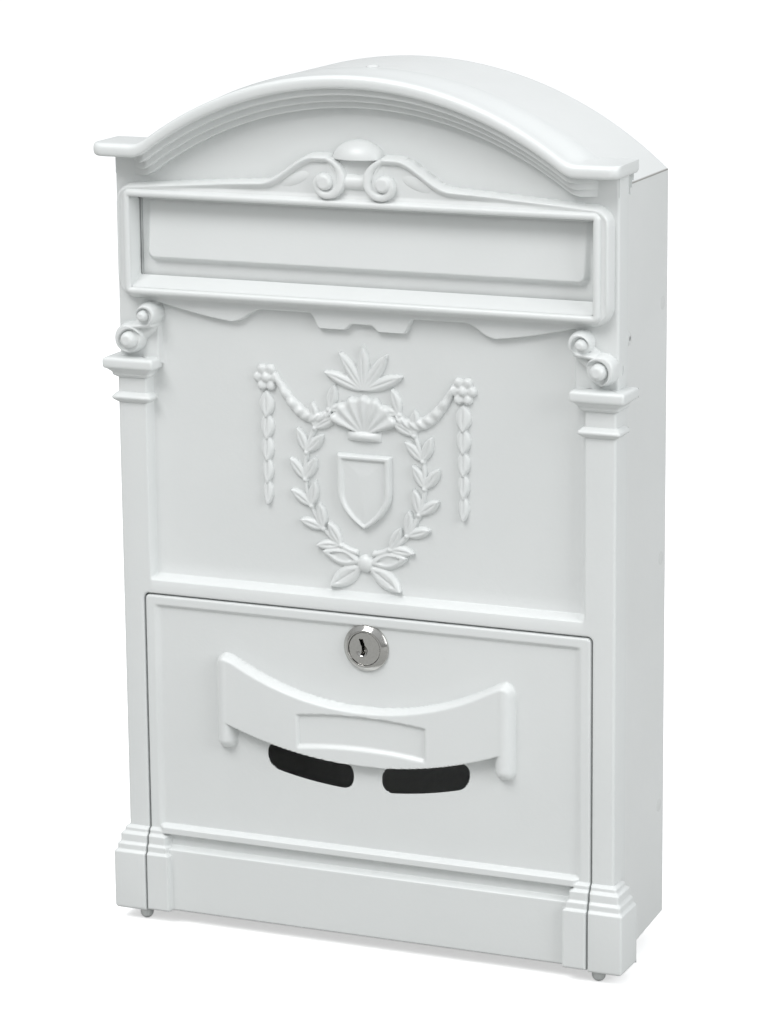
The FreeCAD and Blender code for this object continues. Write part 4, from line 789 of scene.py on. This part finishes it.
crestLayout = {
    "gridX": (-57.5, 57.5, 0.42), "gridHeight": (166.5, 285.5, 0.42),
    "shieldHalf": 13.5, "shieldLow": 197.0, "shieldTop": 232.0, "shieldProud": 2.8, "shieldBorder": 2.4,
    "shieldBow": 2.2, "shieldSink": 1.25, "shieldDome": 0.5, "shieldDomed": (2.5, 11.0),
    "shellFoot": 241.0, "shellRadius": 19.0, "shellSpread": 74.0, "shellRibs": 7, "shellEdge": 2.6,
    "shellRib": 0.95, "shellRibbed": (2, 12), "hingeProud": 2.9, "hingeRise": 2.4, "hingeHalf": 8.5,
    "palmFoot": 262.0, "palmLength": 21.0, "palmWidth": 6.2, "palmProud": 2.6,
    "palmTilts": (-68, -34, 0, 34, 68),
    "rosetteX": 49.0, "rosetteHeight": 265.0, "rosetteRadius": 6.8, "petalEdge": 1.8, "eyeProud": 2.9,
    "eyeRadius": 2.7,
    "swagFrom": (16.0, 251.0), "swagTo": (43.9, 265.0), "swagSag": 9.0, "swagHalf": 2.9, "swagProud": 2.3,
    "foldDeep": 0.14, "foldTurns": 46, "foldSlant": 1.3,
    "huskTop": 252.5, "huskStep": 10.4, "huskLength": 12.4, "huskWidth": 8.0, "huskProud": 2.7, "huskRows": 5,
    "huskShrink": 0.08,
    "wreathHeight": 222.0, "wreathHalf": 30.0, "wreathRise": 37.0, "stemProud": 1.5, "stemHalf": 1.1,
    "stemEnd": 150,
    "laurelLength": 12.4, "laurelWidth": 5.6, "laurelProud": 2.6, "laurelTurns": (24, 145, 20),
    "laurelSplay": 32, "berryProud": 2.2, "berryRadius": 1.5,
    "bowHeight": 180.5, "bowLength": 19.0, "bowWidth": 9.0, "bowProud": 2.6, "knot": 4.2, "knotProud": 2.8,
    "bowLoops": ((78, 1.2), (124, 0.5)),  # lean and hollow
}


def leafForm(x, height, middle, tilt, length, width, proud):
    # Pointed leaf: half round across a lens outline, rising to the tip, with a groove for the vein.
    lean = np.radians(tilt)
    along = ((x - middle[0]) * np.sin(lean) + (height - middle[1]) * np.cos(lean)) / (length / 2)
    beside = (x - middle[0]) * np.cos(lean) - (height - middle[1]) * np.sin(lean)
    half = width / 2 * np.clip(1 - along ** 2, 1e-6, 1) ** 0.8
    form = proud * halfRound(beside, half) * (0.82 + 0.18 * np.clip(along, -1, 1))
    vein = 0.55 * np.exp(-(beside / 0.5) ** 2) * ease(1.0, 0.2, np.abs(along))
    return np.where(np.abs(along) < 1, form - vein * (form > 0.6), 0)


def shieldForm(x, height):
    # Pointed shield: straight sides, then arcs to the point; a raised border about a gently domed field.
    look = crestLayout
    waist = (look["shieldLow"] + look["shieldTop"]) / 2
    bow = look["shieldHalf"] * look["shieldBow"]
    drop = np.clip(waist - height, 0, waist - look["shieldLow"])
    sag = bow - np.sqrt(np.maximum(bow * bow - drop * drop, 0))
    full = bow - np.sqrt(bow * bow - (waist - look["shieldLow"]) ** 2)
    half = look["shieldHalf"] * (1 - sag / full)
    inside = np.minimum((half - np.abs(x)) * 0.86, look["shieldTop"] - height)
    inside = np.where(height < look["shieldLow"], -1, inside)
    border = look["shieldProud"] * softStep(inside, 1.0)
    sunk = look["shieldSink"] * ease(look["shieldBorder"] - 0.5, look["shieldBorder"] + 0.6, inside)
    return border - sunk + look["shieldDome"] * ease(*look["shieldDomed"], inside)


def shellForm(x, height):
    # Scallop: a fan about its foot, ribs as waves of the angle, a lobed edge and a small roll at the hinge.
    look = crestLayout
    rise = height - look["shellFoot"]
    radius, angle = np.hypot(x, rise), np.arctan2(x, rise)
    spread = np.radians(look["shellSpread"])
    wave = np.cos(angle / spread * np.pi / 2 * look["shellRibs"]) ** 2
    edge = look["shellRadius"] * (0.93 + 0.07 * wave) - radius
    fan = softStep(edge, look["shellEdge"]) * ease(0, 0.10, spread - np.abs(angle))
    ribs = look["shellRib"] * wave * ease(*look["shellRibbed"], radius)
    form = (1.0 + 1.4 * np.sqrt(np.clip(radius / look["shellRadius"], 0, 1)) + ribs) * fan
    hinge = look["hingeProud"] * halfRound(rise + 0.3, look["hingeRise"]) * halfRound(x, look["hingeHalf"])
    return np.maximum(form, hinge)


def rosetteForm(x, height):
    # Six round petals about a domed eye.
    look = crestLayout
    across, rise = np.abs(x) - look["rosetteX"], height - look["rosetteHeight"]
    radius, angle = np.hypot(across, rise), np.arctan2(rise, across)
    lobe = np.abs(np.cos(3 * angle))
    petals = (1.5 + 0.7 * lobe) * softStep(look["rosetteRadius"] * (0.78 + 0.22 * lobe) - radius,
                                           look["petalEdge"])
    petals = petals * (0.75 + 0.25 * ease(2, 5, radius))
    return np.maximum(petals, look["eyeProud"] * halfRound(radius, look["eyeRadius"]))


def swagForm(x, height):
    # Festoon: a roll that hangs in a parabola, thick in the middle, wound with slanting folds.
    look = crestLayout
    (x0, z0), (x1, z1) = look["swagFrom"], look["swagTo"]
    t = np.clip((np.abs(x) - x0) / (x1 - x0), 0, 1)
    line = mix(z0, z1, t) - look["swagSag"] * 4 * t * (1 - t)
    slope = ((z1 - z0) - look["swagSag"] * 4 * (1 - 2 * t)) / (x1 - x0)
    beside = (height - line) / np.hypot(1, slope)
    width = look["swagHalf"] * (0.55 + 0.45 * np.sin(np.pi * t))
    folds = 1 + look["foldDeep"] * np.sin(t * look["foldTurns"] + beside * look["foldSlant"])
    form = look["swagProud"] * halfRound(beside, width) * folds
    return np.where((np.abs(x) > x0) & (np.abs(x) < x1), form, 0)


def wreathForm(x, height):
    # Laurel: leaves in pairs along two elliptical branches, with a round stem and a berry at each pair.
    look, across, form = crestLayout, np.abs(x), np.zeros_like(x)
    half, rise, level = look["wreathHalf"], look["wreathRise"], look["wreathHeight"]
    length, width = look["laurelLength"], look["laurelWidth"]
    proud, splay = look["laurelProud"], look["laurelSplay"]
    for turn in range(*look["laurelTurns"]):
        angle = np.radians(turn)
        spotX = half * np.sin(angle)
        spotZ = level - rise * np.cos(angle)
        heading = np.degrees(np.arctan2(half * np.cos(angle), rise * np.sin(angle)))
        for tilt in (heading + splay, heading - splay):
            lean = np.radians(tilt)
            middle = (spotX + length / 2 * np.sin(lean), spotZ + length / 2 * np.cos(lean))
            form = np.maximum(form, leafForm(across, height, middle, tilt, length, width, proud))
        berry = halfRound(np.hypot(across - spotX, height - spotZ), look["berryRadius"])
        form = np.maximum(form, look["berryProud"] * berry)
    angle = np.arctan2(across / half, (level - height) / rise)
    size = np.hypot(across / half, (height - level) / rise)
    stem = look["stemProud"] * halfRound((size - 1) * half, look["stemHalf"])
    return np.maximum(form, stem * (angle < np.radians(look["stemEnd"])) * (angle > 0.12))


def bowForm(x, height):
    # Ribbon bow: two hollow loops, two tails and a round knot.
    look = crestLayout
    across = np.abs(x)
    out = look["knot"] * 0.6 + look["bowLength"] / 2
    length, width = look["bowLength"], look["bowWidth"]
    form = look["knotProud"] * halfRound(np.hypot(x, height - look["bowHeight"]), look["knot"])
    for tilt, hollow in look["bowLoops"]:
        lean = np.radians(tilt)
        middle = (out * np.sin(lean), look["bowHeight"] + out * np.cos(lean))
        loop = leafForm(across, height, middle, tilt, length, width, look["bowProud"])
        inner = leafForm(across, height, middle, tilt, length * 0.62, width * 0.5, hollow)
        form = np.maximum(form, loop - inner)
    return form


def crestRelief():
    # Relief on the panel: the highest of its forms over the sunk ground; cells with no form are left out.
    look = crestLayout
    x, height = np.meshgrid(steps(*look["gridX"]), steps(*look["gridHeight"]))
    form = np.maximum.reduce([shieldForm(x, height), shellForm(x, height), rosetteForm(x, height),
                              swagForm(x, height), wreathForm(x, height), bowForm(x, height)])
    length, width, proud = look["palmLength"], look["palmWidth"], look["palmProud"]
    for tilt in look["palmTilts"]:
        lean = np.radians(tilt)
        middle = (length / 2 * np.sin(lean), look["palmFoot"] + length / 2 * np.cos(lean))
        form = np.maximum(form, leafForm(x, height, middle, tilt, length, width, proud))
    length, proud = look["huskLength"], look["huskProud"]
    for row in range(look["huskRows"]):
        middle = (look["rosetteX"], look["huskTop"] - look["huskStep"] * row)
        width = look["huskWidth"] * (1 - look["huskShrink"] * row)
        form = np.maximum(form, leafForm(np.abs(x), height, middle, 180, length, width, proud))
    shown = form > 0.02
    reach = whole["field"] + np.where(shown, form, -0.25)
    return relief(x, height, reach, touched(shown), reach - 0.05)


# Lower door

door = {
    "half": 112.4, "low": 0.8, "top": 156.8, "back": 67.5, "edge": 1.3, "corner": 2.2,
    "field": 70.5, "border": 5.2, "soft": 0.9, "sideBorder": 6.1, "sideSoft": 1.7,
    "ledgeLow": 38.6, "ledgeTop": 43.5, "ledge": 73.9, "ledgeHalf": 106.6, "dadoTop": 32.6, "dado": 74.5,
    "blockIn": 106.2, "blockSteps": [(40.0, 1.8), (37.2, 3.4), (32.3, 4.6), (28.6, 5.9)], "bevel": 1.3,
    "bannerX": 0.6, "bannerEnd": 76.1, "bannerTop": 112.7, "bannerTopRadius": 132.0, "bannerPeak": 132.0,
    "bannerTip": 6.0, "bannerLow": 84.5, "bannerLowRadius": 190.0, "banner": 76.0, "bannerFoot": 68.0,
    "rollX": 70.6, "rollRadius": 5.4, "rollLow": 84.8,
    "nameHalf": 32.2, "nameLow": 91.2, "nameTop": 106.6, "nameSink": 1.5, "nameBow": 2.1,
    "viewX": 1.5, "viewIn": 7.2, "viewOut": 51.3, "viewTall": 12.8, "viewEnd": 5.6, "viewSpread": 1.6,
    "lockX": 1.5, "lockHeight": 141.4, "lockHole": 8.6, "lockSeat": 10.9,
    "tipSoft": 2.6, "endSoft": 7.5, "underSoft": 0.7, "dish": 0.5,
    "gridX": [(77.0, 98.0, 3.0), (64.0, 77.0, 0.4), (0.0, 64.0, 0.62)],
    "gridHeight": [(2.0, 26.0, 6.0), (26.0, 49.0, 0.35), (49.0, 69.0, 4.0), (69.0, 134.0, 0.5),
                   (134.0, 149.0, 1.0)],
    "rearHeight": [(66.0, 91.0, 0.6), (91.0, 131.0, 8.0), (131.0, 152.0, 0.8)],
}


def bowLine(low, radius, x):  # circle standing on a low point
    return low + radius - np.sqrt(radius * radius - np.minimum(np.abs(x), radius * 0.9) ** 2)


def bannerForm(x, height):
    # Face between two arcs, dished along its length, with a soft top edge and round ends that run on
    # below as rolls.
    look, across, out, foot = door, np.abs(x), x - door["bannerX"], door["bannerFoot"]
    top = -softMax(-bowLine(look["bannerTop"], look["bannerTopRadius"], out), -look["bannerPeak"], 2.5)
    under = height - bowLine(look["bannerLow"], look["bannerLowRadius"], out)
    rim = (top - height) / np.hypot(1, out / look["bannerTopRadius"])
    end, tipRound = look["bannerEnd"] - across, look["bannerTip"]
    tip = tipRound - np.hypot(np.maximum(tipRound - rim, 0), np.maximum(tipRound - end, 0))
    face = look["banner"] - look["dish"] * (1 - (across / look["bannerEnd"]) ** 2)
    tipStep, endStep = softStep(tip, look["tipSoft"]), softStep(end, look["endSoft"])
    body = mix(foot, face, tipStep * endStep * softStep(under, look["underSoft"]))
    body = np.where((tip > 0) & (under > 0), body, foot)
    off = np.hypot(across - look["rollX"], np.maximum(look["rollLow"] + look["rollRadius"] - height, 0))
    roll = mix(foot, look["banner"], halfRound(off, look["rollRadius"]) * tipStep)
    form = softMax(body, np.where((off < look["rollRadius"]) & (tip > 0), roll, foot), 0.6)
    bow = look["nameBow"] * (1 - (x / look["nameHalf"]) ** 2)
    name = np.minimum(look["nameHalf"] - across, look["nameTop"] + bow - height)
    sink = look["nameSink"] * ease(-0.45, 0.55, name) * passing(height - look["nameLow"] - bow, 1.3)
    return form - np.where(rim > 0, sink, 0)


def blockForm(x, height):  # stepped plinth blocks at the door's ends, mitred like the frame's
    over, before = np.zeros_like(x), 0.0
    for top, proud in door["blockSteps"]:
        over += (proud - before) * ease(top + door["bevel"], top, height)
        before = proud
    inner = ease(-0.6, 0.8, np.abs(x) - door["blockIn"] + over)
    return mix(door["field"], whole["front"] + over, inner)


def viewOutside(x, height):
    # Distance out of the curved view slots: a rounded box in lengths along and below the banner's low edge.
    look = door
    out = np.abs(x - look["viewX"])
    along = np.abs(out - (look["viewIn"] + look["viewOut"]) / 2) - (look["viewOut"] - look["viewIn"]) / 2
    drop = bowLine(look["bannerLow"], look["bannerLowRadius"], x - look["bannerX"]) - height
    below = np.abs(drop - look["viewTall"] / 2) - look["viewTall"] / 2
    ex, ez = along + look["viewEnd"], below + look["viewEnd"]
    within = np.minimum(np.maximum(ex, ez), 0)
    return np.hypot(np.maximum(ex, 0), np.maximum(ez, 0)) + within - look["viewEnd"]


def viewSnap(x, height, spread, near):
    # Grid with the points near a view slot's outline moved onto it, the slopes of the distance, and the
    # distance.
    hole = viewOutside(x, height) - spread
    slopeX = np.gradient(hole, axis=1) / np.gradient(x, axis=1)
    slopeZ = np.gradient(hole, axis=0) / np.gradient(height, axis=0)
    snap = np.where(np.abs(hole) < near, hole, 0)
    return x - snap * slopeX, height - snap * slopeZ, slopeX, slopeZ, hole


def doorCells(x, height, spread):  # cells clear of the view slots and the lock hole
    clear = sum(cells(viewOutside(x, height) - spread)) > 0
    lockAway = np.hypot(x - door["lockX"], height - door["lockHeight"])
    return clear & (lockAway[:-1, :-1] > door["lockHole"])


def doorFace():
    # Border, sunk field, ledge, dado, blocks, banner and rolls as one reach; view slots and lock hole
    # are left out.
    look, half, field = door, door["half"], door["field"]
    edge, top, dadoTop = look["edge"], look["top"], look["dadoTop"]
    xs = bothSides(lines(edgeLines(half, -1, edge), (98.0, half, 0.5), *look["gridX"]))
    heights = lines(edgeLines(look["low"], 1, edge), edgeLines(top, -1, edge), *look["gridHeight"],
                    (149.0, top, 0.45))
    x, height, slopeX, slopeZ, hole = viewSnap(*np.meshgrid(xs, heights), 0.0, 0.34)
    onEdge = look["viewSpread"] * (np.abs(hole) < 0.6)
    x, height = cornerPull(x, height, half, top, look["corner"])
    across = np.abs(x)
    sunk = passing(half - across - look["sideBorder"], look["sideSoft"])
    sunk = sunk * passing(top - look["border"] - height, look["soft"]) * passing(height - dadoTop, 0.5)
    reach = mix(whole["front"], field, sunk)
    ledge = ease(0.3, -1.5, height - look["ledgeTop"]) * ease(-0.4, 0.5, height - look["ledgeLow"])
    ledge = ledge * passing(look["ledgeHalf"] - across, 2.0)
    reach = np.maximum(reach, mix(field, look["ledge"], ledge))
    dado = mix(field, look["dado"], ease(0.5, -1.2, height - dadoTop))
    reach = raised(reach, height < dadoTop + 1, dado)
    block = (across > look["blockIn"] - 7) & (height < look["blockSteps"][0][0] + look["bevel"])
    reach = raised(reach, block, blockForm(x, height))
    reach = softMax(reach, bannerForm(x, height), 0.8)
    lockAway = np.hypot(x - look["lockX"], height - look["lockHeight"])
    reach = np.where(lockAway < look["lockSeat"], np.minimum(reach, field), reach)
    side = np.maximum(cornerInside(half - across, top - height, look["corner"]), 0)
    reach = reach - rounding(np.minimum(side, height - look["low"]), edge)
    return relief(x, height, reach, doorCells(x, height, 0.0), np.full_like(x, look["back"]),
                  (onEdge * slopeX, onEdge * slopeZ))


def doorRear():
    # Flat rear face with the lock hole and the wider rear ends of the view slots left out.
    look = door
    xs = bothSides(lines((0.0, 57.0, 0.7), (57.0, look["half"], 8.0)))
    heights = lines((look["low"], 66.0, 8.0), *look["rearHeight"], (152.0, look["top"], 2.4))
    x, height = viewSnap(*np.meshgrid(xs, heights), look["viewSpread"], 0.4)[:2]
    reach = np.full_like(x, look["back"])
    points, quads = relief(x, height, reach, doorCells(x, height, look["viewSpread"]), reach + 0.02)
    return points, quads[:, ::-1]


# Letter flap

flap = {
    "half": 112.2, "low": 307.0, "top": 348.2, "front": 65.5, "back": 64.3, "edge": 0.6,
    "pillowHalf": 108.4, "pillowLow": 317.4, "pillowTop": 347.5, "proud": 3.9, "corner": 4.0, "soft": 1.5,
    "rearReach": 66.8, "knuckleLow": 344.8,  # solid's faces kept behind
}


def flapFace():
    # Flat plate with a raised middle that stands proudest at its lower edge and fades out at the top.
    look = flap
    xs = bothSides(lines(edgeLines(look["half"], -1, look["edge"]), (104.0, look["half"], 0.4),
                         (0.0, 104.0, 8.0)))
    heights = lines(edgeLines(look["low"], 1, look["edge"]), (314.0, 323.0, 0.35), (323.0, look["top"], 2.5))
    x, height = np.meshgrid(xs, heights)
    across = np.abs(x)
    inside = cornerInside(look["pillowHalf"] - across, height - look["pillowLow"], look["corner"])
    fade = np.clip((look["pillowTop"] - height) / (look["pillowTop"] - look["pillowLow"]), 0, 1)
    reach = look["front"] + look["proud"] * fade * passing(inside, look["soft"])
    reach = reach - rounding(np.minimum(look["half"] - across, height - look["low"]), look["edge"])
    return relief(x, height, reach, np.ones((len(heights) - 1, len(xs) - 1), bool),
                  np.full_like(x, look["back"]))


def flapRear():
    def choose(x, reach, height, towardsWall):
        return ((towardsWall > -0.3) & (reach < flap["rearReach"])) | (height > flap["knuckleLow"])
    return cadFaces("letter_flap", choose)


# Lock face

lock = {
    "x": 1.5, "height": 141.4, "seat": 70.5, "bezel": 11.2, "proud": 73.5, "inner": 8.05, "plug": 7.85,
    "face": 73.1,
    "dimple": 3.2, "dimpleSink": 0.9, "keyX": -1.2, "keyHalf": 0.85, "keyTop": 4.4, "keyLow": -3.4,
    "keyBow": 1.0,
    "keyDeep": 5.5, "keySoft": 0.12, "grid": (-8.0, 8.0, 0.16), "rimNear": 0.12, "rimRound": 0.3,
}


def lathe(profile, look):  # profile of (radius, reach) turned about the lock's axis
    radius, reach = profile[:, :1], profile[:, 1:]
    turn = np.linspace(0, 2 * np.pi, 97)
    x, height = look["x"] + radius * np.cos(turn), look["height"] + radius * np.sin(turn)
    return x, reach + 0 * x, height


def bezelRing():
    # Turned ring: short upright rim, a cone, a narrow flat and the bore beside the plug.
    bezel, seat, inner, proud = lock["bezel"], lock["seat"], lock["inner"], lock["proud"]
    profile = softProfile([(bezel - 1, seat), (bezel, seat), (bezel, seat + 0.9), (inner + 0.7, proud),
                           (inner, proud), (inner, lock["face"] - 2.0)], [0.1, 0.35, 0.5, 0.15])
    return skin(*lathe(profile, lock), (lock["x"], 66.0, lock["height"]))


def plugFace():
    # Flat disc, dished about the keyway, which is a bowed upright slot sunk into it.
    look, plug = lock, lock["plug"]
    across, rise = np.meshgrid(steps(*look["grid"]), steps(*look["grid"]))
    radius = np.hypot(across, rise)
    near = np.abs(radius - plug) < look["rimNear"]    # points near the rim move onto it
    share = np.where(near, plug / np.maximum(radius, 1e-6), 1)
    across, rise = across * share, rise * share
    beside = across - look["keyX"]
    middle = look["keyBow"] * (0.5 - (rise / look["keyTop"]) ** 2)
    ends = np.maximum(rise - look["keyTop"], look["keyLow"] - rise)
    key = np.maximum(np.abs(beside - middle) - look["keyHalf"], ends)
    reach = look["face"] - look["dimpleSink"] * ease(look["dimple"], look["dimple"] * 0.5,
                                                     np.hypot(beside, rise + 1))
    reach = reach - look["keyDeep"] * passing(-key, look["keySoft"])
    reach = reach - rounding(plug - np.minimum(radius, plug), look["rimRound"])
    return relief(across + look["x"], rise + look["height"], reach, centres(radius) < plug,
                  np.full_like(reach, look["face"] - 2.2))


def lockRear(node):
    return cadFaces(node, lambda x, reach, height, towardsWall: (reach < 70.6) | (towardsWall > 0.5))


# Rivets of the case

rivets = {
    "sheet": 122.8, "roof": 408.4, "reach": 53.4, "frontHeight": 291.5, "backReach": 6.0,
    "backHeights": (60.0, 180.0, 300.0),
    "head": [(3.1, -0.4), (3.1, 0.2), (2.4, 0.85), (1.4, 0.95), (1.15, 0.8), (1.05, -1.4), (0.0, -1.4)],
    "dome": [(3.1, -0.4), (3.1, 0.2), (2.6, 0.75), (1.6, 1.1), (0.0, 1.25)],
    "flush": [(3.1, -0.4), (3.1, 0.05), (2.2, 0.22), (0.0, 0.28)],
}


def rivetHead(profile, spot, axis):
    # Profile of (radius, height over the sheet) turned about an axis that leads out of the sheet: x, or up.
    radius, out = np.array(profile)[:, :1], np.array(profile)[:, 1:]
    turn = np.linspace(0, 2 * np.pi, 25)
    first, second, out = radius * np.cos(turn), radius * np.sin(turn), out + 0 * turn
    x, reach, height = spot
    if axis == 0:
        return skin(x + first, reach + second, height + out, (x, reach, height - 3))
    return skin(x + axis * out, reach + first, height + second, (x - 3 * axis, reach, height))


def rivetHeads():
    look = rivets
    front = [rivetHead(look["head"], (side * look["sheet"], look["reach"], look["frontHeight"]), side)
             for side in (1, -1)]
    front.append(rivetHead(look["dome"], (0.0, look["reach"], look["roof"]), 0))
    back = [rivetHead(look["flush"], (side * look["sheet"], look["backReach"], height), side)
            for side in (1, -1) for height in look["backHeights"]]
    return front, back


castParts = {
    "castFrame": [frameFace(), tympanum(), frameRear()] + pilasterRings() + hingeNubs() + doorCheeks(),
    "castCornice": [corniceSkin()],
    "castCartouche": [cartoucheFace(), slotReveal()],
    "castScrolls": [centreScrolls(), sideConsole(1), sideConsole(-1)],
    "castRelief": [crestRelief()],
}
castSharp, turnedSharp = 55, 40  # degrees
for name, parts in castParts.items():
    piece(name, parts, "base", "cast_paint", ("front_frame",), castSharp)
piece("castDoor", [doorFace(), doorRear()], "door", "cast_paint", ("door",), castSharp)
piece("castFlap", [flapFace(), flapRear()], "flap", "cast_paint", ("letter_flap",), castSharp)
piece("lockRing", [bezelRing(), lockRear("lock_barrel")], "door", "lock_chrome", ("lock_barrel",),
      turnedSharp)
piece("lockFace", [plugFace(), lockRear("lock_plug")], "lock", "lock_chrome", ("lock_plug",), turnedSharp)
frontHeads, backHeads = rivetHeads()
piece("rivetsFront", frontHeads, "base", "rivet_paint", ("front_rivets",), turnedSharp)
piece("rivetsBack", backHeads, "base", "rivet_paint", ("back_rivets",), turnedSharp)
print("stage pieces done")


# Stage: pale floor, soft light and the photograph's camera

studio = {
    "azimuth": 23.43, "elevation": 12.79, "roll": -0.58,  # degrees
    "distance": 1.6372, "target": (0.0, -0.052, 0.008),   # metres
    "focalPixels": 3529.7, "imageWidth": 764, "imageHeight": 1024, "axisPixel": (377.9, 488.4),
    "sensor": 36.0, "floorBounce": (0.42, 0.42, 0.41, 1), "floorGlow": 0.5,
    "skyTop": (0.95, 0.98, 1.0, 1), "skyLow": (0.34, 0.34, 0.33, 1), "skyStrength": 0.70,
}
lamps = {
    "keyLight": {"at": (-0.6, -1.8, 2.2), "aim": (0, -0.05, 0.0), "size": (1.5, 1.2), "watts": 40.0,
                 "tint": (1.0, 1.0, 1.0)},
    "topLight": {"at": (-0.4, -0.2, 2.4), "aim": (0, -0.05, 0.1), "size": (1.2, 1.2), "watts": 6.0,
                 "tint": (0.96, 0.99, 1.0)},
    "sideLight": {"at": (1.9, -0.6, 0.8), "aim": (0, -0.05, 0.0), "size": (1.2, 1.2), "watts": 19.0,
                  "tint": (0.97, 0.99, 1.0)},
}


def makeCamera():
    turn, lift, roll = np.radians([studio["azimuth"], studio["elevation"], studio["roll"]])
    back = np.array([np.sin(turn) * np.cos(lift), -np.cos(turn) * np.cos(lift), np.sin(lift)])
    right = np.cross(-back, [0, 0, 1])
    right /= np.linalg.norm(right)
    upward = np.cross(back, right)
    camRight = right * np.cos(roll) + upward * np.sin(roll)
    camUp = upward * np.cos(roll) - right * np.sin(roll)
    spot = studio["target"] + back * studio["distance"]
    tall = studio["imageHeight"]
    data = bpy.data.cameras.new("camera")
    data.sensor_width = studio["sensor"]
    data.lens = studio["focalPixels"] / tall * studio["sensor"]
    data.shift_x = (studio["imageWidth"] / 2 - studio["axisPixel"][0]) / tall
    data.shift_y = (studio["axisPixel"][1] - tall / 2) / tall
    camera = bpy.data.objects.new("camera", data)
    camera.matrix_world = Matrix([*zip(camRight, camUp, back, spot), (0, 0, 0, 1)])
    bpy.context.scene.collection.objects.link(camera)
    bpy.context.scene.camera = camera


def makeLight(name, look):
    data = bpy.data.lights.new(name, "AREA")
    data.shape = "RECTANGLE"
    data.size, data.size_y = look["size"]
    data.energy = look["watts"]
    data.color = look["tint"]
    lamp = bpy.data.objects.new(name, data)
    lamp.location = look["at"]
    lamp.rotation_euler = (Vector(look["aim"]) - Vector(look["at"])).to_track_quat("-Z", "Y").to_euler()
    bpy.context.scene.collection.objects.link(lamp)


def makeFloor():
    edge, low = 30.0, cadBox[0].z
    mesh = bpy.data.meshes.new("floor")
    points = [(-edge, -edge, low), (edge, -edge, low), (edge, edge, low), (-edge, edge, low)]
    mesh.from_pydata(points, [], [[0, 1, 2, 3]])
    made, tree, shader = newMaterial("paleFloor")
    tone = ramp(tree, noise(tree, objectCoords(tree), Scale=3.0, Detail=3.0), 0.0, 1.0, 0.94, 0.97)
    seen = addNode(tree, "ShaderNodeLightPath").outputs["Is Camera Ray"]
    # throws less light than it shows, and glows to stay pale
    bounce = blend(tree, seen, studio["floorBounce"], tone)
    setNode(tree, shader, [("Base Color", bounce), ("Emission Color", seen)],
            Emission_Strength=studio["floorGlow"],
            Roughness=0.9)
    mesh.materials.append(made)
    floor = bpy.data.objects.new("floor", mesh)
    bpy.context.scene.collection.objects.link(floor)


def makeWorld():
    # White to the eye; the light it gives falls off from above to the horizon.
    world = bpy.data.worlds.new("studioWorld")
    world.use_nodes = True
    tree = world.node_tree
    seen = tree.nodes["Background"]
    seen.inputs["Color"].default_value = (1, 1, 1, 1)
    coords = addNode(tree, "ShaderNodeTexCoord").outputs["Generated"]
    rise = addNode(tree, "ShaderNodeSeparateXYZ", [("Vector", coords)]).outputs["Z"]
    sky = blend(tree, ramp(tree, rise, -0.2, 0.9, 0.0, 1.0), studio["skyLow"], studio["skyTop"])
    lit = addNode(tree, "ShaderNodeBackground", [("Color", sky)], Strength=studio["skyStrength"])
    path = addNode(tree, "ShaderNodeLightPath")
    choice = addNode(tree, "ShaderNodeMixShader", [("Fac", path.outputs["Is Camera Ray"]),
                                                   (1, lit.outputs["Background"]),
                                                   (2, seen.outputs["Background"])])
    tree.links.new(choice.outputs["Shader"], tree.nodes["World Output"].inputs["Surface"])
    bpy.context.scene.world = world
    bpy.context.scene.view_settings.view_transform = "Standard"


makeCamera()
makeFloor()
makeWorld()
for name, look in lamps.items():
    makeLight(name, look)
print("stage studio done")
